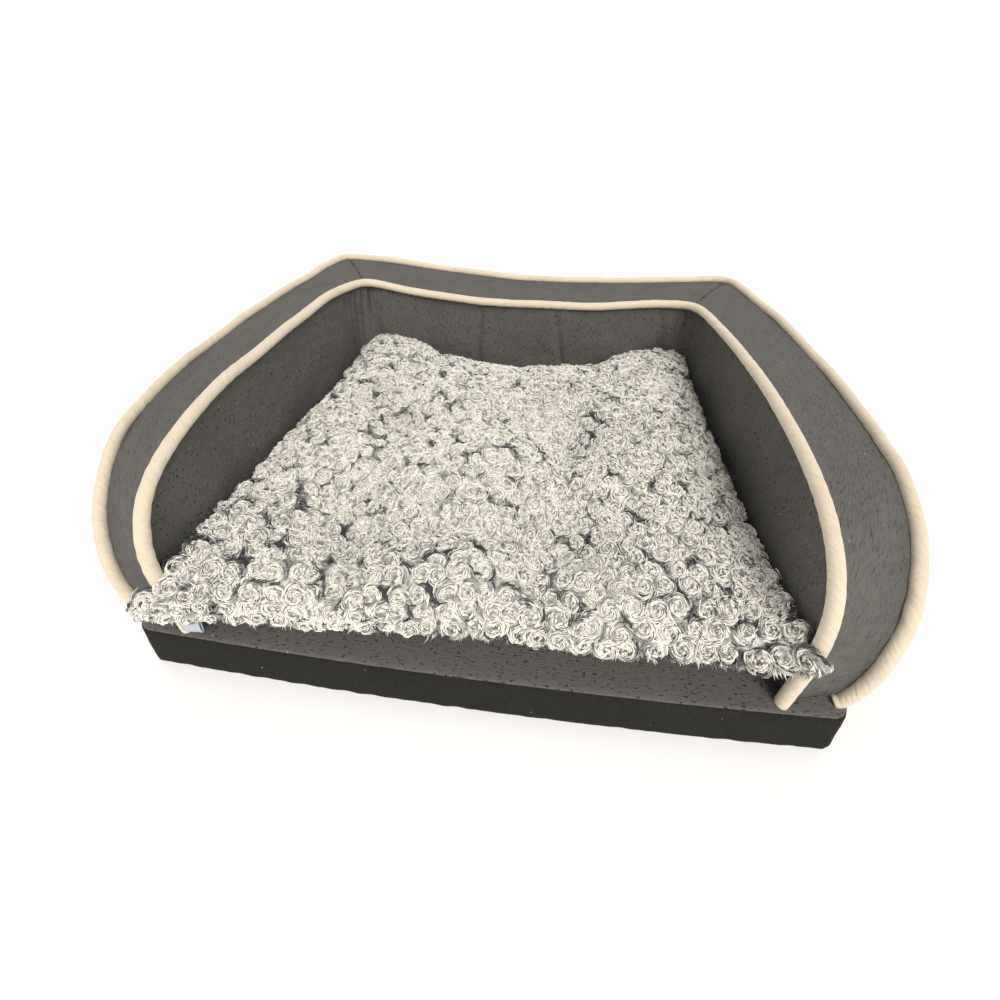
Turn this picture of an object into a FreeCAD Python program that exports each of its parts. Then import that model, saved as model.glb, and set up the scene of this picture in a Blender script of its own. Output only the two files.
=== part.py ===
import FreeCAD, Part
import Sketcher
import math
import os

# Pet cushion bed: a padded base, a U-shaped bolster of two arms and a back, two piping cords
# along the bolster's edges, and a loose plush cushion that lifts out.
#
# Frame: millimetres, +Z up, +Y towards the back, +X to the right seen from the open front.
# The origin is the middle of the base's underside, on the floor.

PARAMETERS = (
    # base slab
    ("base_width", 760, "base, left to right"),
    ("base_depth", 720, "base, front to back, without the bow"),
    ("base_height", 67, "floor to the top of the base"),
    ("front_bow", 8, "how far the middle of the front face bows forward"),
    ("corner_radius", 18, "plan radius of the base's corners"),
    ("cloth", 1.2, "thickness of the upholstery cloth"),
    # bolster, inner edge (under the inner piping)
    ("seat_width_front", 644, "between the inner edges at the front"),
    ("seat_width_back", 610, "between the inner edges at the back"),
    ("inner_bow", 16, "outward bow of an arm's inner edge at mid length"),
    ("seat_back", 236, "inner edge of the back, behind the origin"),
    ("inner_height_front", 286, "inner edge above the floor, front of the arms"),
    ("inner_height_back", 225, "inner edge above the floor, back corners"),
    ("wall_lean", 6, "how far an inner wall's foot stands into the seat"),
    # bolster, outer edge (under the outer piping)
    ("outer_height_front", 238, "outer edge above the floor, front of the arms"),
    ("outer_height_back", 208, "outer edge above the floor, back corners"),
    ("flare", 38, "how far the outer edge leans out past the outer foot"),
    ("outer_bow", 42, "outward bow of an arm's outer edge at mid length"),
    ("back_overhang", 32, "outer edge of the back, behind the base"),
    ("foot_margin", 18, "outer foot inside the base's side"),
    ("back_sag", 22, "how far the back dips in the middle"),
    ("arm_setback", 12, "arm front behind the base's front edge"),
    ("inner_rise_length", 426, "length over which an arm's inner edge rises to its height"),
    ("outer_rise_length", 190, "length over which an arm's outer edge rises to its height"),
    # piping
    ("piping_diameter", 14, "outside of the covered cord"),
    ("piping_cloth", 1.2, "thickness of the piping's cover"),
    ("piping_gap", 1.5, "cover to the seam edge it follows"),
    # loose cushion
    ("cushion_gap", 2, "cushion to what stands furthest into the seat"),
    ("cushion_front_inset", 10, "cushion front behind the base's front edge"),
    ("cushion_thickness", 92, "underside to the flat of the crown"),
    ("cushion_seam_height", 26, "underside to the knife-edge seam"),
    ("crown_inset", 70, "crown inside the seam"),
    ("underside_inset", 16, "underside inside the seam"),
    ("plush", 8, "thickness of the plush cover with its pile"),
    ("lift_gap", 0.3, "cushion above the base's top cloth"),
    ("tuft_left", 150, "left tufts, left of the middle"),
    ("tuft_right", 90, "right tufts, right of the middle"),
    ("tuft_front", 242, "front tufts, in front of the origin"),
    ("tuft_back", 45, "back tufts, in front of the origin"),
    ("tie_diameter", 3, "thread bundle through a tuft"),
    # care label
    ("label_width", 26, "along the seam"),
    ("label_length", 14, "out of the seam"),
    ("label_thickness", 0.8, "folded label"),
    ("label_offset", 272, "label's near side, left of the middle"),
)

# Stations along an arm, as shares of the rise, and then as shares of the straight run behind it.
RISE_STATIONS = (0.01, 0.06, 0.16, 0.34, 0.62, 1.0)
RUN_STATIONS = (0.3, 0.65, 0.92)
# Stations across the back, as shares of its half width, on each side of the middle.
BACK_STATIONS = (0.75, 0.4)
# Squareness of an edge's rise: 2 is a quarter of an ellipse, more is squarer.
INNER_RISE_POWER = 4.4
OUTER_RISE_POWER = 2.2
UP = FreeCAD.Vector(0, 0, 1)

doc = FreeCAD.newDocument("pet_cushion_bed")
sheet = doc.addObject("Spreadsheet::Sheet", "Params")
for row, (alias, value, note) in enumerate(PARAMETERS, start=1):
    sheet.set(f"A{row}", note)
    sheet.set(f"B{row}", str(value))
    sheet.setAlias(f"B{row}", alias)
doc.recompute()

subparts = []


def size(alias):
    """A driving dimension read back from the sheet."""
    return float(getattr(sheet, alias))


def keep(obj, label):
    """Names an object as a sub-part of the bed."""
    obj.Label = label
    subparts.append(obj)
    return obj


def bind(obj, expressions):
    """Ties properties of an object to the sheet."""
    for path, expression in expressions.items():
        obj.setExpression(path, expression)


def boolean(kind, name, base, tool):
    """A Part boolean of two objects, such as a Part::Cut."""
    result = doc.addObject(kind, name)
    result.Base = base
    result.Tool = tool
    return result


def sketch_on_floor(body, name, height):
    """An empty sketch in a body, parallel to the floor at a height above it."""
    sketch = body.newObject("Sketcher::SketchObject", name)
    floor = next(f for f in body.Origin.OriginFeatures if f.Role == "XY_Plane")
    sketch.AttachmentSupport = [(floor, "")]
    sketch.MapMode = "FlatFace"
    sketch.setExpression("AttachmentOffset.Base.z", height)
    return sketch


def dimension(sketch, name, expression, *constraint):
    """Adds a named dimension to a sketch and ties it to the sheet."""
    index = sketch.addConstraint(Sketcher.Constraint(*constraint))
    sketch.renameConstraint(index, name)
    sketch.setExpression(f"Constraints.{name}", expression)


# ---------------------------------------------------------------- base

def base_outline(body, name, inset, height):
    """Plan of the base: straight sides and back, and a front that bows forward."""
    sketch = sketch_on_floor(body, name, height)
    half, deep, bow = size("base_width") / 2, size("base_depth") / 2, size("front_bow")
    radius = (half**2 + bow**2) / (2 * bow)
    centre = FreeCAD.Vector(0, radius - deep - bow, 0)
    corners = [FreeCAD.Vector(x, y, 0) for x, y in
               ((-half, -deep), (-half, deep), (half, deep), (half, -deep))]
    turn = math.asin(half / radius)
    front = Part.ArcOfCircle(Part.Circle(centre, UP, radius), -math.pi / 2 - turn, -math.pi / 2 + turn)
    sides = [Part.LineSegment(a, b) for a, b in zip(corners, corners[1:])]
    left, back, right, bowed = sketch.addGeometry(sides + [front], False)
    for a, end, b, start in ((left, 2, back, 1), (back, 2, right, 1), (right, 2, bowed, 2), (bowed, 1, left, 1)):
        sketch.addConstraint(Sketcher.Constraint("Coincident", a, end, b, start))
    for line, direction in ((left, "Vertical"), (back, "Horizontal"), (right, "Vertical")):
        sketch.addConstraint(Sketcher.Constraint(direction, line))
    sketch.addConstraint(Sketcher.Constraint("PointOnObject", bowed, 3, -2))
    bow_radius = "((Params.base_width / 2)^2 + Params.front_bow^2) / (2 * Params.front_bow)"
    dimension(sketch, "half_left", f"Params.base_width / 2 - {inset}",
              "DistanceX", back, 1, -1, 1, half)
    dimension(sketch, "half_right", f"Params.base_width / 2 - {inset}",
              "DistanceX", -1, 1, back, 2, half)
    dimension(sketch, "to_back", f"Params.base_depth / 2 - {inset}",
              "DistanceY", -1, 1, back, 1, deep)
    dimension(sketch, "bow_centre", f"{bow_radius} - Params.front_bow - Params.base_depth / 2",
              "DistanceY", -1, 1, bowed, 3, radius - bow - deep)
    dimension(sketch, "bow_radius", f"{bow_radius} - {inset}",
              "Radius", bowed, radius)
    return sketch


def base_slab(name, inset, low, high):
    """A slab of the base's plan, drawn in by an inset, between two heights."""
    body = doc.addObject("PartDesign::Body", name)
    sketch = base_outline(body, f"{name}_plan", inset, low)
    pad = body.newObject("PartDesign::Pad", f"{name}_pad")
    pad.Profile = sketch
    pad.setExpression("Length", f"{high} - {low}")
    doc.recompute()
    upright = [f"Edge{n}" for n, edge in enumerate(pad.Shape.Edges, start=1)
               if abs(edge.tangentAt(edge.FirstParameter).z) > 0.99]
    rounding = body.newObject("PartDesign::Fillet", f"{name}_corners")
    rounding.Base = (pad, upright)
    rounding.setExpression("Radius", f"Params.corner_radius - {inset}")
    body.Tip = rounding
    return body


CLOTH_TOP = "(Params.base_height - Params.cloth)"
keep(base_slab("base_bottom_panel", "0", "0", "Params.cloth"), "base_bottom_panel")
keep(base_slab("base_top_panel", "0", CLOTH_TOP, "Params.base_height"), "base_top_panel")
foam = keep(base_slab("base_foam", "Params.cloth", "Params.cloth", CLOTH_TOP), "base_foam")
casing = base_slab("base_casing", "0", "Params.cloth", CLOTH_TOP)
gusset_ring = boolean("Part::Cut", "base_gusset_ring", casing, foam)

# Each gusset is the part of the ring inside its own block: x, y, length and width of the block.
REACH = "(Params.base_width + Params.base_depth)"
SIDE_START = "(Params.corner_radius - Params.base_depth / 2)"
SIDE_LENGTH = "(Params.base_depth - 2 * Params.corner_radius)"
GUSSETS = {
    "front": (f"-{REACH} / 2", f"{SIDE_START} - {REACH}", REACH, REACH),
    "back": (f"-{REACH} / 2", f"{SIDE_START} + {SIDE_LENGTH}", REACH, REACH),
    "left": (f"-{REACH}", SIDE_START, REACH, SIDE_LENGTH),
    "right": ("0", SIDE_START, REACH, SIDE_LENGTH),
}
for side, (x, y, length, width) in GUSSETS.items():
    block = doc.addObject("Part::Box", f"gusset_block_{side}")
    bind(block, {
        "Placement.Base.x": x,
        "Placement.Base.y": y,
        "Length": length,
        "Width": width,
        "Height": "Params.base_height",
    })
    gusset = boolean("Part::Common", f"base_gusset_{side}", gusset_ring, block)
    keep(gusset, f"base_gusset_{side}")


# ---------------------------------------------------------------- bolster

def mix(a, b, share):
    return a + (b - a) * share


def bulge(share):
    """A bow that is 0 at both ends and 1 in the middle."""
    return 4 * share * (1 - share)


class Section:
    """A slice through the bolster, in an upright plane.

    Its corners run from the inner foot over the inner and the outer edge to the outer foot.
    """

    def __init__(self, origin, direction, corners, skew=1.0):
        self.origin = origin
        self.direction = direction
        self.corners = corners
        self.skew = skew

    def point(self, corner):
        return self.origin + self.direction * corner[0] + UP * corner[1]

    def inset(self, thickness):
        """The same slice inside cloth of a thickness; its foot stays on the base."""
        (ax, az), (bx, bz), (cx, cz), (dx, dz) = self.corners
        wall = thickness * self.skew
        top = (bz - cz) / (cx - bx)
        inner = (bx - ax) / (bz - az)
        outer = (cx - dx) / (cz - dz)
        inner_wall = wall * math.hypot(1, inner)
        outer_wall = wall * math.hypot(1, outer)
        band = thickness * math.hypot(1, top)
        # the inner wall's line is x = ax + inner_wall + inner * z, the band's is z = bz - band - top * (x - bx)
        edge = (bz - band + top * (bx - ax - inner_wall) - az) / (1 + top * inner)
        far = (bz - band - top * (dx - outer_wall - bx) - dz) / (1 + top * outer)
        corners = (
            (ax + inner_wall, az),
            (ax + inner_wall + inner * edge, az + edge),
            (dx - outer_wall + outer * far, dz + far),
            (dx - outer_wall, dz),
        )
        return Section(self.origin, self.direction, corners, self.skew)

    def mirrored(self):
        """The slice on the other side of the bed's middle plane."""
        def flip(v):
            return FreeCAD.Vector(-v.x, v.y, v.z)
        return Section(flip(self.origin), flip(self.direction), self.corners, self.skew)


def arm_front():
    return size("arm_setback") - size("base_depth") / 2


def rise(y, length, power):
    """Share of its full height that an edge of the arm has reached at y."""
    ahead = max(0.0, 1 - (y - arm_front()) / length)
    return (1 - ahead**power) ** (1 / power)


def arm_section(y):
    """Slice through the right arm, square to Y."""
    floor = size("base_height")
    outer_back = size("base_depth") / 2 + size("back_overhang")
    inner_share = (y - arm_front()) / (size("seat_back") - arm_front())
    outer_share = (y - arm_front()) / (outer_back - arm_front())
    inner_rise = rise(y, size("inner_rise_length"), INNER_RISE_POWER)
    outer_rise = rise(y, size("outer_rise_length"), OUTER_RISE_POWER)
    inner_x = mix(size("seat_width_front"), size("seat_width_back"), inner_share) / 2
    inner_x += size("inner_bow") * bulge(inner_share)
    outer_foot = size("base_width") / 2 - size("foot_margin")
    outer_x = outer_foot + size("flare") * outer_rise + size("outer_bow") * bulge(outer_share)
    inner_z = mix(size("inner_height_front"), size("inner_height_back"), inner_share)
    outer_z = mix(size("outer_height_front"), size("outer_height_back"), outer_share)
    corners = (
        (inner_x - size("wall_lean") * inner_rise, floor),
        (inner_x, mix(floor, inner_z, inner_rise)),
        (outer_x, mix(floor, outer_z, outer_rise)),
        (outer_foot, floor),
    )
    return Section(FreeCAD.Vector(0, y, 0), FreeCAD.Vector(1, 0, 0), corners)


def corner_section():
    """Slice along the mitre where the right arm meets the back."""
    inner = FreeCAD.Vector(size("seat_width_back") / 2, size("seat_back"), 0)
    outer = FreeCAD.Vector(
        size("base_width") / 2 - size("foot_margin") + size("flare"),
        size("base_depth") / 2 + size("back_overhang"), 0)
    along = (outer - inner).normalize()
    floor = size("base_height")
    foot_x = size("base_width") / 2 - size("foot_margin")
    corners = (
        (-size("wall_lean") / along.x, floor),
        (0, size("inner_height_back")),
        (outer.distanceToPoint(inner), size("outer_height_back")),
        ((foot_x - inner.x) / along.x, floor),
    )
    return Section(inner, along, corners, math.sqrt(2))


def back_section(x):
    """Slice through the back, square to X."""
    corner = corner_section()
    inner_foot, inner, outer, outer_foot = (corner.point(c) for c in corner.corners)
    dip = size("back_sag") * math.cos(math.pi / 2 * x / inner.x)
    corners = (
        (inner_foot.y, inner_foot.z),
        (inner.y, inner.z - dip),
        (outer.y, outer.z - dip),
        (outer_foot.y, outer_foot.z),
    )
    return Section(FreeCAD.Vector(x, 0, 0), FreeCAD.Vector(0, 1, 0), corners)


def arm_stations():
    """Places of the arm's slices along Y, from the front to just before the mitre."""
    rise_end = arm_front() + size("outer_rise_length")
    rising = [mix(arm_front(), rise_end, share) for share in RISE_STATIONS]
    running = [mix(rise_end, size("seat_back") - size("wall_lean"), share) for share in RUN_STATIONS]
    return rising + running


def lofted(polygons):
    """A solid through closed polygons, with straight lines between them."""
    wires = [Part.makePolygon(list(points) + [points[0]]) for points in polygons]
    solid = Part.makeLoft(wires, True, True)
    if solid.Volume < 0:
        solid.reverse()
    return solid


def panel_pieces(sections):
    """The fill and the three cloth panels of one stretch of the bolster."""
    outside = [[s.point(c) for c in s.corners] for s in sections]
    inside = [[s.point(c) for c in s.inset(size("cloth")).corners] for s in sections]
    pieces = {"bolster_fill": lofted(inside)}
    for panel, first in (("inner_wall", 0), ("top_band", 1), ("outer_wall", 2)):
        last = first + 1
        pieces[panel] = lofted([
            (out[first], out[last], ins[last], ins[first]) for out, ins in zip(outside, inside)
        ])
    return pieces


def nose_cap(section):
    """The end of an arm's top band that closes the front of the arm."""
    points = [section.point(c) for c in section.corners]
    forward = FreeCAD.Vector(0, -size("cloth"), 0)
    return lofted([points, [p + forward for p in points]])


def add_solid(shape, label):
    """A soft piece whose shape is lofted through slices."""
    feature = doc.addObject("Part::Feature", label)
    feature.Shape = shape
    feature.Placement = FreeCAD.Placement()
    return keep(feature, label)


right_arm = [arm_section(y) for y in arm_stations()] + [corner_section()]
left_arm = [section.mirrored() for section in right_arm]
back_places = [share * size("seat_width_back") / 2 for share in BACK_STATIONS]
back_run = [corner_section().mirrored()]
back_run += [back_section(x) for x in [-x for x in back_places] + [0] + back_places[::-1]]
back_run += [corner_section()]
for side, sections in (("left", left_arm), ("right", right_arm), ("back", back_run)):
    for piece, shape in panel_pieces(sections).items():
        if piece == "top_band" and side != "back":
            shape = shape.fuse(nose_cap(sections[0])).removeSplitter()
        add_solid(shape, f"{piece}_{side}")


# ---------------------------------------------------------------- piping

def outward(wall, band):
    """From a seam edge to the middle of the piping that is sewn into it."""
    reach = size("piping_diameter") / 2 + size("piping_gap")
    return (wall + band).normalize() * reach


def piping_points(corner, inwards):
    """Middle line of a piping cord: up the left arm, across the back and down the right arm.

    At the front it stands in front of the cloth that closes the arm.
    """
    sign = -1 if inwards else 1
    points = []
    stations = arm_stations()
    for y, section in zip(stations, right_arm):
        step = 0.5
        slope = (arm_section(y + step).corners[corner][1] - section.corners[corner][1]) / step
        band = FreeCAD.Vector(0, -slope, 1).normalize()
        points.append(section.point(section.corners[corner]) + outward(FreeCAD.Vector(sign, 0, 0), band))
    points[0] += FreeCAD.Vector(0, -size("cloth"), 0)
    mitre = corner_section()
    points.append(mitre.point(mitre.corners[corner]) + outward(mitre.direction * sign, UP))
    foot = FreeCAD.Vector(points[0].x, points[0].y, size("base_height"))
    arm = [foot] + points
    back = [back_section(x) for x in back_places[::-1] + [0]]
    back = [s.point(s.corners[corner]) + outward(FreeCAD.Vector(0, sign, 0), UP) for s in back]
    half = arm + list(reversed(sorted(back, key=lambda p: p.x)))
    left = [FreeCAD.Vector(-p.x, p.y, p.z) for p in half]
    return left + half[::-1][1:]


def piping(name, corner, inwards):
    """A covered cord: a round core inside a tube of cloth, both swept along one path."""
    points = piping_points(corner, inwards)
    path = doc.addObject("Part::Feature", f"{name}_path")
    path.Shape = Part.makePolygon(points)
    sweeps = []
    for part, radius in (
        ("outside", "Params.piping_diameter / 2"),
        ("cord", "Params.piping_diameter / 2 - Params.piping_cloth"),
    ):
        ring = doc.addObject("Part::Circle", f"{name}_{part}_ring")
        ring.setExpression("Radius", radius)
        ring.Placement = FreeCAD.Placement(points[0], FreeCAD.Rotation(UP, points[1] - points[0]))
        sweep = doc.addObject("Part::Sweep", f"{name}_{part}")
        sweep.Sections = [ring]
        sweep.Spine = (path, [])
        sweep.Solid = True
        sweep.Transition = "Right corner"
        sweeps.append(sweep)
    outside, cord = sweeps
    keep(cord, f"{name}_cord")
    keep(boolean("Part::Cut", f"{name}_cover", outside, cord), f"{name}_cover")


piping("inner_piping", 1, True)
piping("outer_piping", 2, False)


# ---------------------------------------------------------------- loose cushion

FLOOR = "(Params.base_height + Params.lift_gap)"
SEAM = f"({FLOOR} + Params.cushion_seam_height)"
CROWN = f"({FLOOR} + Params.cushion_thickness)"
# How far the inner piping, or the foot of a leaning wall, stands into the seat.
PIPING_REACH = "((Params.piping_diameter / 2 + Params.piping_gap) * cos(45) + Params.piping_diameter / 2)"
WALL_REACH = f"(max({PIPING_REACH}; 2 * Params.wall_lean) + Params.cushion_gap)"
HALF_FRONT = f"(Params.seat_width_front / 2 - {WALL_REACH})"
HALF_BACK = f"(Params.seat_width_back / 2 - {WALL_REACH})"
TO_FRONT = "(Params.base_depth / 2 - Params.cushion_front_inset)"
TO_BACK = f"(Params.seat_back - {WALL_REACH})"


def cushion_outline(body, name, inset, height):
    """Plan of the cushion at a height: as wide as the seat at the front and at the back."""
    sketch = sketch_on_floor(body, name, height)
    front, back = size("seat_width_front") / 2, size("seat_width_back") / 2
    near, far = size("base_depth") / 2, size("seat_back")
    corners = [FreeCAD.Vector(x, y, 0) for x, y in
               ((-front, -near), (front, -near), (back, far), (-back, far))]
    lines = [Part.LineSegment(a, b) for a, b in zip(corners, corners[1:] + corners[:1])]
    near_edge, right_edge, far_edge, left_edge = sketch.addGeometry(lines, False)
    edges = (near_edge, right_edge, far_edge, left_edge)
    for a, b in zip(edges, edges[1:] + edges[:1]):
        sketch.addConstraint(Sketcher.Constraint("Coincident", a, 2, b, 1))
    for line in (near_edge, far_edge):
        sketch.addConstraint(Sketcher.Constraint("Horizontal", line))
    dimension(sketch, "front_left", f"{HALF_FRONT} - {inset}", "DistanceX", near_edge, 1, -1, 1, front)
    dimension(sketch, "front_right", f"{HALF_FRONT} - {inset}", "DistanceX", -1, 1, near_edge, 2, front)
    dimension(sketch, "back_right", f"{HALF_BACK} - {inset}", "DistanceX", -1, 1, far_edge, 1, back)
    dimension(sketch, "back_left", f"{HALF_BACK} - {inset}", "DistanceX", far_edge, 2, -1, 1, back)
    dimension(sketch, "to_front", f"{TO_FRONT} - {inset}", "DistanceY", near_edge, 1, -1, 1, near)
    dimension(sketch, "to_back", f"{TO_BACK} - {inset}", "DistanceY", -1, 1, far_edge, 1, far)
    return sketch


def pillow(name, levels):
    """A knife-edge pillow lofted through plans at its underside, its seam and its crown."""
    body = doc.addObject("PartDesign::Body", name)
    plans = [cushion_outline(body, f"{name}_{level}", inset, height)
             for level, (inset, height) in levels.items()]
    loft = body.newObject("PartDesign::AdditiveLoft", f"{name}_loft")
    loft.Profile = plans[0]
    loft.Sections = plans[1:]
    loft.Ruled = True
    return body


cushion_outside = pillow("cushion_outside", {
    "underside": ("Params.underside_inset", FLOOR),
    "seam": ("0", SEAM),
    "crown": ("Params.crown_inset", CROWN),
})
cushion_inside = pillow("cushion_inside", {
    "underside": ("(Params.underside_inset + Params.cloth)", f"({FLOOR} + Params.cloth)"),
    "seam": ("Params.plush", SEAM),
    "crown": ("(Params.crown_inset + Params.plush)", f"({CROWN} - Params.plush)"),
})
cushion_skin = boolean("Part::Cut", "cushion_skin", cushion_outside, cushion_inside)
for node, low, height in (
    ("cushion_bottom_cover", FLOOR, "Params.cushion_seam_height"),
    ("cushion_top_cover", SEAM, "Params.cushion_thickness"),
):
    block = doc.addObject("Part::Box", f"{node}_block")
    bind(block, {
        "Placement.Base.x": f"-{REACH} / 2",
        "Placement.Base.y": f"-{REACH} / 2",
        "Placement.Base.z": low,
        "Length": REACH,
        "Width": REACH,
        "Height": height,
    })
    keep(boolean("Part::Common", node, cushion_skin, block), node)

ties = []
for column in ("-Params.tuft_left", "Params.tuft_right"):
    for line in ("-Params.tuft_front", "-Params.tuft_back"):
        tie = doc.addObject("Part::Cylinder", "tuft_tie")
        bind(tie, {
            "Radius": "Params.tie_diameter / 2",
            "Height": "Params.cushion_thickness - Params.plush - Params.cloth",
            "Placement.Base.x": column,
            "Placement.Base.y": line,
            "Placement.Base.z": f"{FLOOR} + Params.cloth",
        })
        ties.append(tie)
tuft_ties = keep(doc.addObject("Part::Compound", "tuft_ties"), "tuft_ties")
tuft_ties.Links = ties
keep(boolean("Part::Cut", "cushion_fill", cushion_inside, tuft_ties), "cushion_fill")

label = keep(doc.addObject("Part::Box", "care_label"), "care_label")
bind(label, {
    "Length": "Params.label_width",
    "Width": "Params.label_length",
    "Height": "Params.label_thickness",
    "Placement.Base.x": "-Params.label_offset - Params.label_width",
    "Placement.Base.y": f"-{TO_FRONT} - Params.label_length",
    "Placement.Base.z": f"{SEAM} - Params.label_thickness / 2",
})


# ---------------------------------------------------------------- check and write

doc.recompute()
for obj in doc.Objects:
    if {"Invalid", "Error"} & set(obj.State):
        raise RuntimeError(f"{obj.Name} failed: {obj.State}")
for obj in subparts:
    if obj.Shape.isNull() or not obj.Shape.isValid() or not obj.Shape.Solids:
        raise RuntimeError(f"{obj.Label} has no valid solid")

os.makedirs("parts", exist_ok=True)
for obj in subparts:
    obj.Shape.exportStep(f"parts/{obj.Label}.step")
    box, litres = obj.Shape.BoundBox, obj.Shape.Volume / 1e6
    print(f"{obj.Label}: {len(obj.Shape.Solids)} solid(s), {litres:.3f} litres, "
          f"x {box.XMin:.1f} to {box.XMax:.1f}, y {box.YMin:.1f} to {box.YMax:.1f}, "
          f"z {box.ZMin:.1f} to {box.ZMax:.1f}")
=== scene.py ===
import math

import bpy
import numpy as np
from bpy.props import FloatProperty, FloatVectorProperty, IntProperty, PointerProperty
from mathutils import Matrix, Vector, noise
from mathutils.kdtree import KDTree


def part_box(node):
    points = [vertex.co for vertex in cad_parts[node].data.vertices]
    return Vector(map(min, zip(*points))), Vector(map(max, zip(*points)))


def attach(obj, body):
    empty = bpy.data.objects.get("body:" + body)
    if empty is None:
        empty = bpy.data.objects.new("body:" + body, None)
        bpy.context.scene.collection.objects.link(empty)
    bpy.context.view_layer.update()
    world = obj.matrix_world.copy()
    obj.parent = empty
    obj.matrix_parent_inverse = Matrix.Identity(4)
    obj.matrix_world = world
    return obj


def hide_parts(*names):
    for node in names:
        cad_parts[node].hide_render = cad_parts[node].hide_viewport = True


bl_info = {
    "name": "Pet Cushion Bed",
    "version": (1, 0, 0),
    "blender": (4, 5, 0),
    "location": "View3D > Sidebar > Pet Bed",
    "description": "Sews the base, bolster, piping and plush cushion of a pet bed around its frame",
    "category": "Add Mesh",
}

# Metres throughout, +Z up, +Y towards the back, the origin on the floor under the base's middle.
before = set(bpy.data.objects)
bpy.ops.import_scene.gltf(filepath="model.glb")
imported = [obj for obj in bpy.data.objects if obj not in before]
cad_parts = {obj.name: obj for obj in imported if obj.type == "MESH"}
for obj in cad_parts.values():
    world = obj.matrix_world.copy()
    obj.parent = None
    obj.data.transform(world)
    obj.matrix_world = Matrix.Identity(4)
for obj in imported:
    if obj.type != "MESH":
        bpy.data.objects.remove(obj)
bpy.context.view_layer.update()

# ---------------------------------------------------------------- sizes taken from the frame

BASE_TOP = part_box("base_top_panel")[1].z
BASE_HALF_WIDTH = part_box("base_top_panel")[1].x
BASE_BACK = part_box("base_top_panel")[1].y
SEAT_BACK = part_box("top_band_back")[0].y
OUTER_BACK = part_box("top_band_back")[1].y
INNER_FOOT_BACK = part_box("inner_wall_back")[0].y
OUTER_FOOT_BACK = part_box("outer_wall_back")[0].y
OUTER_CORNER_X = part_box("top_band_back")[1].x
INNER_BACK_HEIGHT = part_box("inner_wall_back")[1].z
OUTER_BACK_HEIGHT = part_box("outer_wall_back")[1].z
INNER_CORNER_FOOT_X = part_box("inner_wall_right")[0].x
CUSHION_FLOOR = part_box("cushion_bottom_cover")[0].z

# Sizes of the bolster that a box can't give.
FRONT_BOW = 0.008
BASE_CORNER = 0.018
ARM_FRONT = -0.348
OUTER_SETBACK = 0.007
INNER_FRONT_X = 0.322
INNER_CORNER_X = 0.305
OUTER_FOOT_X = 0.362
FLARE = 0.038
INNER_BOW = 0.016
OUTER_BOW = 0.042
INNER_FRONT_HEIGHT = 0.286
OUTER_FRONT_HEIGHT = 0.238
BACK_SAG = 0.022
WALL_LEAN = 0.006
FRONT_SWELL = 0.007
# A bed in use: the left side stands a little higher and the right arm's inner edge is a little straighter.
LEFT_INNER_LIFT = 0.015
LEFT_OUTER_LIFT = 0.009
RIGHT_INNER_SHIFT = 0.0078
# Length and squareness of the rise of an arm's edges at the front.
INNER_RISE = (0.426, 4.4)
OUTER_RISE = (0.190, 2.2)

# Columns of cloth along an arm and along the back, and rows across each panel.
ARM_COLUMNS = 110
BACK_COLUMNS = 76
PANEL_ROWS = {"inner_wall": 22, "top_band": 20, "outer_wall": 18}
PANEL_HEIGHT = 0.13
# A filling's size beside the cloth round it.
FILLING_SHARE = 0.78
SIM_FRAMES = 20


# ---------------------------------------------------------------- what a user may change

def colour_setting(name, description, default):
    return FloatVectorProperty(
        name=name, description=description, subtype="COLOR", default=default, min=0, max=1
    )


def length_setting(name, description, default):
    return FloatProperty(
        name=name, description=description, default=default, min=0, unit="LENGTH", subtype="DISTANCE"
    )


def share_setting(name, description, default):
    return FloatProperty(
        name=name, description=description, default=default, min=0, max=1, subtype="FACTOR"
    )


class ClothSettings(bpy.types.PropertyGroup):
    colour: colour_setting("Cloth", "Colour of the slub upholstery", (0.118, 0.113, 0.106))
    fleck: colour_setting("Flecks", "Colour of the short dark slubs", (0.012, 0.012, 0.013))
    lining: colour_setting("Lining", "Colour of the cushion's underside", (0.045, 0.047, 0.050))
    flecks: share_setting("Fleck amount", "How strongly the slubs show", 0.85)
    # Painted shade: the base's side bands take a darker copy of the cloth, standing in for the shade on
    # them.
    side_band_painted_shade: share_setting("Side band shade", "Brightness of the base's side bands beside the rest", 0.20)
    thickness: length_setting("Thickness", "Thickness of the upholstery cloth", 0.0012)


class BolsterSettings(bpy.types.PropertyGroup):
    pressure: FloatProperty(name="Pressure", description="How hard the filling pushes", default=4, min=0)
    slack: share_setting("Slack", "How much longer the cloth is than its seams", 0.018)
    puff: length_setting("Puff", "Furthest that a panel swells", 0.015)
    tuck: length_setting("Tuck depth", "Depth of the tucks in the walls", 0.012)
    mitre: length_setting("Mitre depth", "Depth of the valley along a corner's seam", 0.004)


class PipingSettings(bpy.types.PropertyGroup):
    diameter: length_setting("Diameter", "Outside of the covered cord", 0.014)
    proud: share_setting("Proud", "How far the cord stands out of its seam, as a share of its radius", 0.85)
    outer_proud: share_setting("Outer proud", "The same for the outer cord", 0.80)
    colour: colour_setting("Colour", "Brushed cream cover", (0.66, 0.565, 0.435))
    twist: share_setting("Twist", "Depth of the twisted wrinkles, as a share of the radius", 0.045)


class CushionSettings(bpy.types.PropertyGroup):
    crown: length_setting("Crown", "Top of the cushion above the floor", 0.146)
    pressure: FloatProperty(name="Pressure", description="How hard the filling pushes", default=4, min=0)
    slack: share_setting("Slack", "How much longer the cloth is than its seams", 0.03)
    puff: length_setting("Puff", "Furthest that the top swells", 0.010)
    tuft: length_setting("Tuft depth", "How far a tuft is pulled down", 0.034)


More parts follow.
